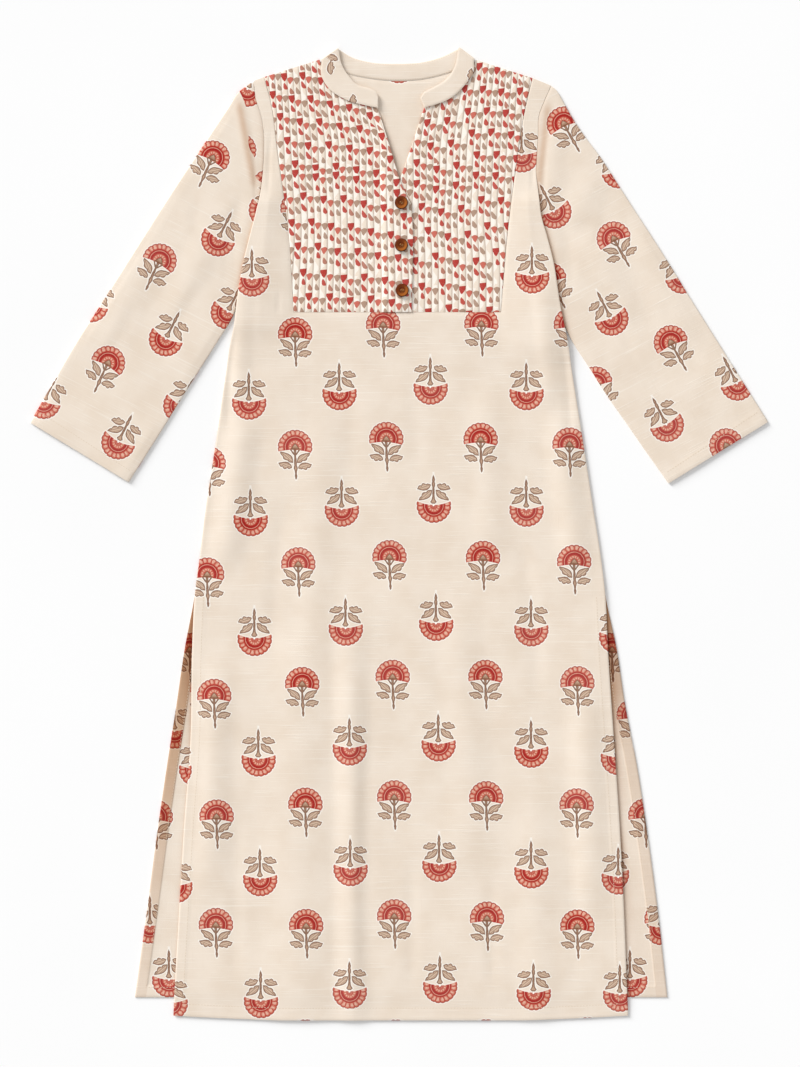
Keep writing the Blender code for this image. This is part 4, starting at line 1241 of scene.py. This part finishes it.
def stitches(name, lines, material, length=2.5, gap=1.3, width=0.55, height=0.32):
    """Machine stitches along lines, as one mesh: slim bars, each of four rings of four points."""
    along, size = np.repeat(STITCH_RINGS, 4, axis=0).T[..., None]
    across, up = np.tile([(1, 0), (0, 1), (-1, 0), (0, -1)], (4, 1)).T[..., None]
    bars = []
    for line in lines:
        count = max(2, round(distances(line)[-1] / (length + gap)))
        at = spaced_straight(line, count * 3 + 1)
        start, run = at[0:-1:3, None], (at[2::3] - at[0:-1:3])[:, None]
        side = np.cross([0, 0, 1], unit(run))
        rise = np.array([0, 0, 1]) * (up * size * height / 2)
        bars.append(start + along * run + side * across * size * width / 2 + rise)
    points = np.concatenate(bars)
    bar = np.concatenate([grid_quads(4, 4, True)[:, ::-1], [[3, 2, 1, 0], [12, 13, 14, 15]]])
    faces = (np.arange(len(points))[:, None, None] * 16 + bar).reshape(-1, 4)
    return make_mesh(name, points.reshape(-1, 3), faces, material, sharp=60)


def hem_lines(skirt, dip, top, slit, hem, counts):
    """The stitched lines of a panel's turned hems, on its upper face: up both slits, and along the hem.

    `slit` gives how far under the slits' tops the lines start, how far over the hem they end, and how far
    from the edge they run. `hem` gives how far from the side edges its line starts, and its height.
    """
    last = skirt[-1]
    level = np.linspace(SLIT_Y - slit[0], last.y + slit[1], counts[0])
    along = np.linspace(last.left + hem[0], last.right - hem[0], counts[1])
    lines = [
        (outline(skirt, level, 0) + slit[2], level), (outline(skirt, level, 1) - slit[2], level),
        (along, hem_edge(along, skirt, dip) + hem[1]),
    ]
    return [np.stack([x, y, top(x, y) + STITCH_LIFT], axis=1) for x, y in lines]


def lathe(profile, around):
    """Points and faces of a turned shape about Z: the profile's radius and height, carried round."""
    angle = np.linspace(0, math.tau, around, endpoint=False)
    radius, height = np.array(profile, float).T
    x, y = radius[:, None] * np.cos(angle), radius[:, None] * np.sin(angle)
    points = np.dstack([x, y, np.repeat(height[:, None], around, 1)])
    return points.reshape(-1, 3), grid_quads(radius.size, around, True)


def rope(path, radius, sides=8):
    """Points and faces of a round thread along a path that lies mostly flat, with its ends closed."""
    run = unit(np.gradient(path, axis=0))
    side = unit(np.cross(run, [0, 0, 1]))
    up = np.cross(side, run)
    angle = np.linspace(0, math.tau, sides, endpoint=False)
    size = np.full(len(path), radius)
    size[[0, -1]] = 0
    ring = side[:, None] * np.cos(angle)[None, :, None] + up[:, None] * np.sin(angle)[None, :, None]
    points = path[:, None] + ring * size[:, None, None]
    return points.reshape(-1, 3), grid_quads(len(path), sides, True)


# ---------------------------------------------------------------- settings
def size(name, description, default, **more):
    return FloatProperty(name=name, description=description, default=default, unit="LENGTH", **more)


def tint(name, description, *levels):
    return FloatVectorProperty(
        name=name, description=description, default=srgb(*levels), size=3, min=0, max=1, subtype="COLOR",
    )


class KurtaCloth(bpy.types.PropertyGroup):
    """The plain cotton."""

    cream: tint("Cream", "Lighter tone of the cotton", 239, 225, 209)
    cream_deep: tint("Deep cream", "Darker tone of the cotton", 233, 217, 199)
    slub_colour: tint("Slubs", "Colour of the thick threads", 247, 238, 226)
    # The hems' own darker tone, also laid on as painted shade toward the slits' tops.
    hem_and_shade_colour: tint("Hem band", "Colour of the hems turned to the inside", 208, 180, 156)
    thread_pitch: size("Thread pitch", "Distance between two threads of the weave", 0.00055)
    # Painted shade in the folds by the armholes and along the body's edge.
    fold_shade_colour: tint("Deep fold", "Tone of the cloth in the folds by the armholes", 200, 150, 98)
    # Painted shade where cloth goes in under another piece.
    tucked_shade_colour: tint("Tucked in", "Tone of cloth that goes in under another piece", 176, 126, 80)
    thread_colour: tint("Sewing thread", "Colour of the seams' thread", 233, 214, 190)


class KurtaPrint(bpy.types.PropertyGroup):
    """The flower block print."""

    petals: IntProperty(name="Petals", description="Outer petals round a whole bloom", default=20, min=6)
    red: tint("Red", "Ink of the dome and the thin ring", 180, 45, 29)
    deep_red: tint("Deep red", "Ink of the thick ring", 166, 12, 5)
    salmon: tint("Salmon", "Ink of the petals", 198, 91, 67)
    pale: tint("Pale", "Thin ink between the rings", 226, 166, 142)
    petal_heart: tint("Petal heart", "The light middle of a petal", 240, 201, 178)
    outline: tint("Outline", "Line round the bloom", 150, 50, 38)
    leaf: tint("Leaf", "Ink of the leaves", 192, 156, 130)
    leaf_light: tint("Leaf light", "Thin ink on the leaves", 214, 187, 163)
    leaf_line: tint("Leaf line", "Line round the leaves", 122, 82, 58)
    calyx: tint("Calyx", "Ink of the calyx", 156, 118, 94)
    resist: tint("Resist", "Pale line round the whole print", 252, 247, 239)


class KurtaBib(bpy.types.PropertyGroup):
    """The pintucked bib."""

    tuck_height: size("Tuck height", "How far a tuck stands up", 0.0005)
    ground: tint("Ground", "Lighter tone between the prints", 248, 240, 229)
    ground_deep: tint("Deep ground", "Darker tone between the prints", 237, 222, 205)
    vein: tint("Vein", "Faint line along a tuck", 228, 198, 180)
    tuck_line: tint("Tuck line", "Shaded stitched line of a tuck", 180, 138, 114)
    shield_red: tint("Shield red", "First ink", 178, 40, 32)
    shield_salmon: tint("Shield salmon", "Second ink", 200, 98, 82)
    shield_taupe: tint("Shield taupe", "Third ink", 172, 140, 120)
    drop_red: tint("Drop red", "Drop under a red shield", 186, 54, 42)
    drop_brown: tint("Drop brown", "Drop under a salmon shield", 178, 112, 92)


class KurtaButtons(bpy.types.PropertyGroup):
    """The coconut buttons."""

    dish: size("Dish depth", "How deep the face is turned", 0.0007)
    hole: size("Hole radius", "Radius of a sewing hole", 0.00085)
    spread: size("Hole spread", "Distance from the middle to a hole", 0.0018)
    shell_light: tint("Light shell", "Lighter wood", 160, 92, 36)
    shell_dark: tint("Dark shell", "Darker wood", 118, 54, 22)
    shell_ring: tint("Shell ring", "Turned rings", 138, 72, 28)
    shell_rim: tint("Shell rim", "Rim and flecks", 78, 30, 14)
    thread_colour: tint("Button thread", "Thread through the holes", 170, 122, 74)


class KurtaStudio(bpy.types.PropertyGroup):
    """Floor, lights and camera."""

    key: FloatProperty(name="Key light", description="Strength of the soft light", default=4.0, min=0)
    fill: FloatProperty(name="Fill light", description="Strength of the light around", default=0.6, min=0)
    softness: FloatProperty(
        name="Softness", description="The key light's width", default=math.radians(24), subtype="ANGLE",
    )
    lens: FloatProperty(name="Lens", description="Focal length in millimetres", default=85.0, min=10)
    view_height: size("View height", "Length of floor from the bottom of the view to its top", 1.3461)
    floor: tint("Floor", "Colour of the floor", 250, 250, 250)


# ---------------------------------------------------------------- operators
FADED = 20  # an "away" or a "cut" at which a tone has gone and the print is whole


def place(piece, node, slot="printed_cotton"):
    """The piece, which rides on the body and stands for that node, if one is given."""
    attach(piece, "root")
    if node:
        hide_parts(node)
    return piece


def sewn(context, name, lines, **gauge):
    """Stitches along the lines, in thread of their own."""
    thread = thread_cotton(f"{name}_thread", context.scene.kurta_cloth.thread_colour)
    return place(stitches(f"{name}_stitches", lines, thread, **gauge), None)


def grid_area(points, cells=None):
    """The area of a grid of points in millimetres, in square metres."""
    a, b, c, d = points[:-1, :-1], points[1:, :-1], points[1:, 1:], points[:-1, 1:]
    area = np.linalg.norm(np.cross(c - a, d - b), axis=2) / 2 * MM * MM
    return float(area.sum() if cells is None else area[cells].sum())


class KURTA_OT_back_panel(bpy.types.Operator):
    """Make the back panel, which lies face down, and the stitching of its hems"""

    bl_idname = "kurta.back_panel"
    bl_label = "Back panel"

    def execute(self, context):
        def banded(across, down):
            return slit_hem(across, down, BACK_SKIRT, 0.4)

        x, y, _ = body_plan(BACK_SKIRT, dip=0, row_step=5.6, middle_columns=46, side_columns=16)
        under = side_lift(x, y)
        outer, inner = panel_grids(x, y, under, back_top(x, y))
        stamps = repeat(BACK_PRINT, REPEAT_ORIGIN, 0, (-400, -700), (400, 640))
        plan = outer[..., :2]
        on_hem, beside = flower_maps(plan, BACK_HEM_PRINT), flower_maps(plan, stamps)
        maps = either(plan, on_hem, beside, lambda across, down: banded(across, down) > 0.5)
        piece = shell("back_cloth", outer, inner, banded_cotton("back_cotton", context), maps)

        def hem(across, down, up):
            """How far the darker side and painted shade show on the turned hems: by height, on the left
            and the right.
            """
            left = np.interp(down, (-560, -435, -304, -195), (0.22, 0.45, 0.85, 0.95))
            right = np.interp(down, (-560, -450, -270, -195), (0.16, 0.18, 0.22, 0.5))
            return banded(across, down) * (up > CLOTH * 0.6) * np.where(across < 0, left, right)

        def away(across, down, up):
            """How far in a point lies, for painted shade: under the front in the slits, and under the bib
            at the neck.
            """
            left, right = outline(FRONT_SKIRT, down, 0) - across, across - outline(FRONT_SKIRT, down, 1)
            width = np.interp(down, (-300, -210, -120), (0.0, 5, 11))
            left = (left + 1) / (width + 2.2) + np.interp(down, (-330, -180), (1.3, 0.2))
            right = (right + 1) / (width + 3.6)
            # The right strip keeps a faint painted shade all over.
            slit = np.where(across < 0, left, right.clip(0, 2.6)).clip(0, FADED)
            neck = np.minimum(
                (across - flow(PLACKET_EDGE, down)).clip(0) / 3.4 + 0.9,
                (flow(UNDERLAP_EDGE, down) - across).clip(0) / 3.0 + 1.7,
            ) + np.interp(down, (532, 548), (0, 9))
            away = np.where(down < SLIT_Y + 12, slit, np.where(down > UNDERARM_Y, neck, FADED))
            return np.where(up > CLOTH * 0.6, away, FADED)

        mark(piece, "hem", hem)
        mark(piece, "away", away)
        place(piece, "back_panel")
        lines = hem_lines(BACK_SKIRT, 0, back_top, slit=(10, 13, 12.6), hem=(13, 12.6), counts=(120, 120))
        seams = sewn(context, "back", lines)
        return {"FINISHED"}


class KURTA_OT_front_panel(bpy.types.Operator):
    """Make the front panel round the bib, with its folds and the stitching of its hems"""

    bl_idname = "kurta.front_panel"
    bl_label = "Front panel"

    def execute(self, context):
        beside = 20
        x, y, above = body_plan(
            FRONT_SKIRT, FRONT_HEM_DIP, row_step=4.4, middle_columns=60, side_columns=beside,
        )
        cells = np.ones((x.shape[0] - 1, x.shape[1] - 1), bool)
        strip = EDGE_COLUMNS.size - 1 + beside
        cells[:above, strip:-strip] = False  # the bib's window
        outer, inner = panel_grids(x, y, front_under(x, y), front_top(x, y))
        stamps = repeat(FRONT_PRINT, REPEAT_ORIGIN, 0, (-330, -640), (330, 400))
        maps = flower_maps(outer[..., :2], stamps)
        piece = shell("front_cloth", outer, inner, flower_cotton("front_cotton", context), maps, cells)
        place(piece, "front_panel")
        seams = sewn(context, "front", hem_lines(
            FRONT_SKIRT, FRONT_HEM_DIP, front_top, slit=(6, 16, 11.5), hem=(12, 15.5), counts=(140, 160),
        ))
        return {"FINISHED"}


class KURTA_OT_bib(bpy.types.Operator):
    """Make the bib's two halves of pintucks; the left one laps over the right one"""

    bl_idname = "kurta.bib"
    bl_label = "Pintucked bib"

    def execute(self, context):
        high = context.scene.kurta_bib.tuck_height / MM
        cloth = bib_cotton("tucked_cotton", context)
        left = [(y, x + SEAM) for y, x in YOKE_LEFT_EDGE]
        right = [(y, x - SEAM) for y, x in YOKE_RIGHT_EDGE]
        left, right = (left, PLACKET_EDGE), (UNDERLAP_EDGE, right)
        halves = (
            ("left", TUCK_LINES_LEFT, TUCKS_LEFT, left, NECK_FRONT_LEFT, SHIELDS_LEFT),
            ("right", TUCK_LINES_RIGHT, TUCKS_RIGHT, right, NECK_FRONT_RIGHT, SHIELDS_RIGHT),
        )
        for side, (word, lines, ends, edges, neck, chart) in enumerate(halves):
            x, y, cells = bib_plan(lines, ends, *edges, (YOKE_TOP[side], NECK_TOP[side]), neck)
            height = tuck_height(tuck_place(lines, x, y), y, high)
            under = np.full(x.shape, FRONT_Z)
            if side == 0:
                under = under + PLACKET_LIFT * smooth(x, -27, -15)
            else:
                covered = x < flow(PLACKET_EDGE, y) + 1
                height = np.where(covered, height * smooth(y, 435, 483), height)
            outer, inner = panel_grids(x, y, under, under + CLOTH + height)
            maps = shield_maps(outer[..., :2], lines, ends, chart)
            piece = shell(f"bib_{word}", outer, inner, cloth, maps, cells, outer_room=0.8, weld=True)
            place(piece, f"yoke_{word}", "bib_cotton")
            grid_area(outer, cells)
        return {"FINISHED"}


class KURTA_OT_collar(bpy.types.Operator):
    """Make the band collar and its edge stitching"""

    bl_idname = "kurta.collar"
    bl_label = "Band collar"

    def execute(self, context):
        middle = collar_surface()
        normal = sheet_normals(middle)
        flat = np.abs(normal[..., 2:]) > 0.9
        normal = np.where(flat, np.sign(normal[..., 2:]) * (0, 0, 1), normal)
        share = np.linspace(0, 1, middle.shape[1])[None, :, None]
        puff = 0.35 * np.sin(share * math.pi) ** 0.6
        outer = middle + normal * (BAND / 2 + puff)
        inner = middle - normal * (BAND / 2)
        plan = middle[..., :2].copy()
        plan[COLLAR_FRONT_ROWS:-COLLAR_FRONT_ROWS] = PARKED
        maps = flower_maps(plan, COLLAR_PRINT, leaves_only=True)
        cotton_cloth = flower_cotton("collar_cotton", context)
        piece = place(shell("collar_cloth", outer, inner, cotton_cloth, maps, outer_room=0.5), "collar")
        lines = [outer[2:-2, 1], outer[2:-2, -2]]
        seams = sewn(context, "collar", lines, length=2.0, gap=1.1, width=0.45, height=0.3)
        return {"FINISHED"}


class KURTA_OT_sleeves(bpy.types.Operator):
    """Make the two pressed sleeves, with the stitching of their cuffs"""

    bl_idname = "kurta.sleeves"
    bl_label = "Sleeves"

    def execute(self, context):
        thread = thread_cotton("cuff_thread", context.scene.kurta_cloth.thread_colour)
        rise = (FRONT_Z + CLOTH) / 2
        left, right = (SLEEVE_LEFT_FOLDS, SLEEVE_LEFT_CREASES), (SLEEVE_RIGHT_FOLDS, SLEEVE_RIGHT_CREASES)
        sides = (
            ("left", SLEEVE_LEFT, left, SLEEVE_LEFT_PRINT, (-305, 347), -SLEEVE_TURN),
            ("right", SLEEVE_RIGHT, right, SLEEVE_RIGHT_PRINT, (269, 376), SLEEVE_TURN),
        )
        for number, (word, table, (folds, creases), prints, origin, turn) in enumerate(sides):
            plan = sleeve_plan(table, number)
            layer = plan.shape[1] - 2
            outer = sleeve_rings(plan, rise, rise, folds, creases, FRONT_HEM_STEP)
            inner = sleeve_rings(plan, rise, rise - CLOTH, folds, creases, 0)
            cuff = outer[CUFF_ROW, 1:layer - 1] + (0, 0, STITCH_LIFT)
            rolled = unrolled(outer, layer + FOLD_COLUMNS // 2)
            if number == 1:  # the right sleeve's rings run the other way round
                outer, inner = outer[:, ::-1], inner[:, ::-1]
                rolled = np.concatenate([rolled[:, -2::-1], rolled[:, -2:-1]], axis=1)
            stamps = repeat(prints, origin, turn, (-700, -50), (700, 800))
            finish = sleeve_cotton(f"sleeve_{word}_cotton", context, turn)
            maps = flower_maps(rolled, stamps)
            if number == 0:
                tucked = flower_maps(rolled, SLEEVE_FOLD_PRINT)
                maps = either(rolled, tucked, maps, lambda x, y: x > flow(SLEEVE_CUT, y) - 8)
            piece = shell(f"sleeve_{word}_cloth", outer, inner, finish, maps, tube=True, outer_room=0.85)

            def cut(across, down, up, number=number):
                """How far a point lies past the fold's edge, on the front of the left sleeve."""
                past = across - flow(SLEEVE_CUT, down)
                return np.where((up > FRONT_Z) & (past > -16) & (number == 0), past, FADED)

            def away(across, down, up, number=number):
                """How far a point lies from the body's edge, or from the valley beside it, for painted
                shade.
                """
                side = (across - outline(FRONT_SKIRT, down, number)) * (1 if number else -1)
                # How light the painted shade is, by height.
                lightness = ((0.7, 0.9, 2.0), (0.2, 0.5, 1.6))[number]
                side = (side + 1) / 3.6 + np.interp(down, (380, 470, 560), lightness)
                (x0, y0), (x1, y1), start = SLEEVE_VALLEYS[number]
                run = math.hypot(x1 - x0, y1 - y0)
                along = ((across - x0) * (x1 - x0) + (down - y0) * (y1 - y0)) / run
                aside = ((across - x0) * (y1 - y0) - (down - y0) * (x1 - x0)) / run
                past = np.maximum(-along, along - run).clip(0, None)
                valley = start + (aside / 5) ** 2 + (past / 12) ** 2
                return np.where(up > FRONT_Z, np.minimum(side, valley).clip(0, FADED), FADED)

            mark(piece, "cut", cut)
            mark(piece, "away", away)
            place(piece, f"sleeve_{word}")
            seams = place(stitches(f"cuff_{word}_stitches", [cuff], thread), None)
        return {"FINISHED"}


BED_DEPTH = 1.35  # how deep a button's middle lies, in depths of its dish
THREAD_RADIUS = 0.3  # of a button's thread
CORNER = 0.7  # a hole's way to each side, as a share of its distance from the middle
FIRST_TURN, NEXT_TURN = -40, 17  # degrees that the first button is turned, and each more than the last
STRAND_GAP = 0.56  # between the middles of a thread's two strands


class KURTA_OT_buttons(bpy.types.Operator):
    """Turn the three coconut buttons and sew them on"""

    bl_idname = "kurta.buttons"
    bl_label = "Coconut buttons"

    def execute(self, context):
        buttons = context.scene.kurta_buttons
        shell_finish = coconut("coconut_shell", buttons)
        thread = thread_cotton("button_thread", buttons.thread_colour)
        hole, spread, dish = buttons.hole / MM, buttons.spread / MM, buttons.dish / MM
        for number, node in enumerate(BUTTON_PLACES):
            low, high = (np.array(corner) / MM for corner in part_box(node))
            centre = (low + high) / 2
            radius, thick = (high - low)[0] / 2, (high - low)[2]
            bed = thick - dish * BED_DEPTH
            profile = [
                *((r, bed) for r in np.linspace(0, 3.4, 26)),
                (3.7, thick - dish * 1.1), (4.0, thick - dish), (5.2, thick - dish * 0.85),
                (6.2, thick - dish * 0.25), (6.9, thick), (7.4, thick * 0.99), (7.9, thick * 0.9),
                (radius - 0.12, thick * 0.74), (radius, thick * 0.55), (radius - 0.1, thick * 0.28),
                (7.6, 0.05), (7.0, 0.0), (0.0, 0.0),
            ]
            points, quads = lathe(profile, 72)
            turn = math.radians(FIRST_TURN + NEXT_TURN * number)
            cos, sin = math.cos(turn), math.sin(turn)
            corners = [(cos * a - sin * b, sin * a + cos * b) for a, b in product((-1, 1), repeat=2)]
            holes = [(a * spread * CORNER, b * spread * CORNER) for a, b in corners]
            top = points[:, 2] > thick * 0.5
            for a, b in holes:
                away = np.hypot(points[:, 0] - a, points[:, 1] - b)
                points[:, 2] -= top * smooth(away, hole, hole * 0.72) * (thick * 0.5)
            face_map = {"Face": points[quads][..., :2]}
            points = points + (centre[0], centre[1], low[2])
            made = make_mesh(f"coconut_{node}", points, quads, shell_finish, face_map, sharp=40, weld=True)
            place(made, node, "coconut_shell")
            strands = []
            share = np.linspace(0, 1, 15)[:, None]
            arch = (np.sin(share * math.pi) ** 0.5 * 1.5 - 1.35) * (0, 0, 1)
            for pair, offset in product((holes[:2], holes[2:]), (-STRAND_GAP / 2, STRAND_GAP / 2)):
                a, b = (np.array([*h, 0.0]) for h in pair)
                shift = unit(np.array([b[1] - a[1], a[0] - b[0], 0.0])) * offset
                lift = arch + (0, 0, bed + THREAD_RADIUS)
                strands.append(rope(a + share * (b - a) + shift + lift, THREAD_RADIUS))
            points = np.concatenate([strand for strand, _ in strands]) + (centre[0], centre[1], low[2])
            size_each = len(strands[0][0])
            quads = np.concatenate([faces + i * size_each for i, (_, faces) in enumerate(strands)])
            sewing = make_mesh(f"{node}_thread", points, quads, thread, sharp=80, weld=True)
            place(sewing, None, "bib_cotton")
        return {"FINISHED"}


FLOOR_REACH = 5000  # millimetres of floor to each side of the garment's middle
KEY_LEAN, KEY_TURN = 70, -135  # degrees from straight down, and round from the hem's side
SENSOR = 36.0  # the camera's frame, in millimetres
VIEW_CENTRE = (0.0013, 0.0019, 0.003)  # the point on the garment under the camera, in metres


class KURTA_OT_studio(bpy.types.Operator):
    """Lay the pale floor, hang the soft lights and set the camera straight above"""

    bl_idname = "kurta.studio"
    bl_label = "Studio"

    def execute(self, context):
        scene, studio = context.scene, context.scene.kurta_studio
        paint = Paint("floor_paper")
        grain = paint.noise(paint.here(), 3)
        shade = paint.mix(grain.step(0.2, 0.8), studio.floor, tuple(0.985 * c for c in studio.floor))
        paint.finish(shade, grain, strength=0.05, distance=0.0005)
        line = np.linspace(-FLOOR_REACH, FLOOR_REACH, 21)
        x, y = np.meshgrid(line, line[::-1])
        points = np.dstack([x, y, np.zeros_like(x)]).reshape(-1, 3)
        floor = make_mesh("floor", points, grid_quads(line.size, line.size), paint.material)
        world = bpy.data.worlds.new("studio_world")
        world.use_nodes = True
        background = world.node_tree.nodes["Background"]
        background.inputs["Color"].default_value = (1, 1, 1, 1)
        background.inputs["Strength"].default_value = studio.fill
        scene.world = world
        sun = bpy.data.lights.new("key", "SUN")
        sun.energy, sun.angle = studio.key, studio.softness
        key = bpy.data.objects.new("key", sun)
        key.rotation_euler = (math.radians(KEY_LEAN), 0, math.radians(KEY_TURN))
        scene.collection.objects.link(key)
        lens = bpy.data.cameras.new("camera")
        lens.lens, lens.sensor_width = studio.lens, SENSOR
        camera = bpy.data.objects.new("camera", lens)
        distance = studio.view_height * studio.lens / SENSOR
        camera.location = (VIEW_CENTRE[0], VIEW_CENTRE[1], VIEW_CENTRE[2] + distance)
        scene.collection.objects.link(camera)
        scene.camera = camera
        scene.view_settings.view_transform = "Standard"
        scene.view_settings.look = "None"
        return {"FINISHED"}


class KURTA_PT_sidebar(bpy.types.Panel):
    """The pieces, in the order that they are made in"""

    bl_label = "Kurta tunic"
    bl_idname = "KURTA_PT_sidebar"
    bl_space_type = "VIEW_3D"
    bl_region_type = "UI"
    bl_category = "Kurta"

    def draw(self, context):
        for title, group in SETTINGS.items():
            box = self.layout.box()
            box.label(text=group.__doc__)
            for key in group.__annotations__:
                box.prop(getattr(context.scene, title), key)
        for operator in OPERATORS:
            self.layout.operator(operator.bl_idname)


SETTINGS = {
    "kurta_cloth": KurtaCloth,
    "kurta_print": KurtaPrint,
    "kurta_bib": KurtaBib,
    "kurta_buttons": KurtaButtons,
    "kurta_studio": KurtaStudio,
}
OPERATORS = (
    KURTA_OT_back_panel,
    KURTA_OT_front_panel,
    KURTA_OT_bib,
    KURTA_OT_collar,
    KURTA_OT_sleeves,
    KURTA_OT_buttons,
    KURTA_OT_studio,
)


def register():
    for made in (*SETTINGS.values(), *OPERATORS, KURTA_PT_sidebar):
        bpy.utils.register_class(made)
    for title, group in SETTINGS.items():
        setattr(bpy.types.Scene, title, PointerProperty(type=group))


def unregister():
    for title in SETTINGS:
        delattr(bpy.types.Scene, title)
    for made in (KURTA_PT_sidebar, *OPERATORS[::-1], *SETTINGS.values()):
        bpy.utils.unregister_class(made)


def main():
    register()
    for make in (
        bpy.ops.kurta.back_panel, bpy.ops.kurta.front_panel, bpy.ops.kurta.bib, bpy.ops.kurta.collar,
        bpy.ops.kurta.sleeves, bpy.ops.kurta.buttons, bpy.ops.kurta.studio,
    ):
        make()


if __name__ == "__main__":
    main()
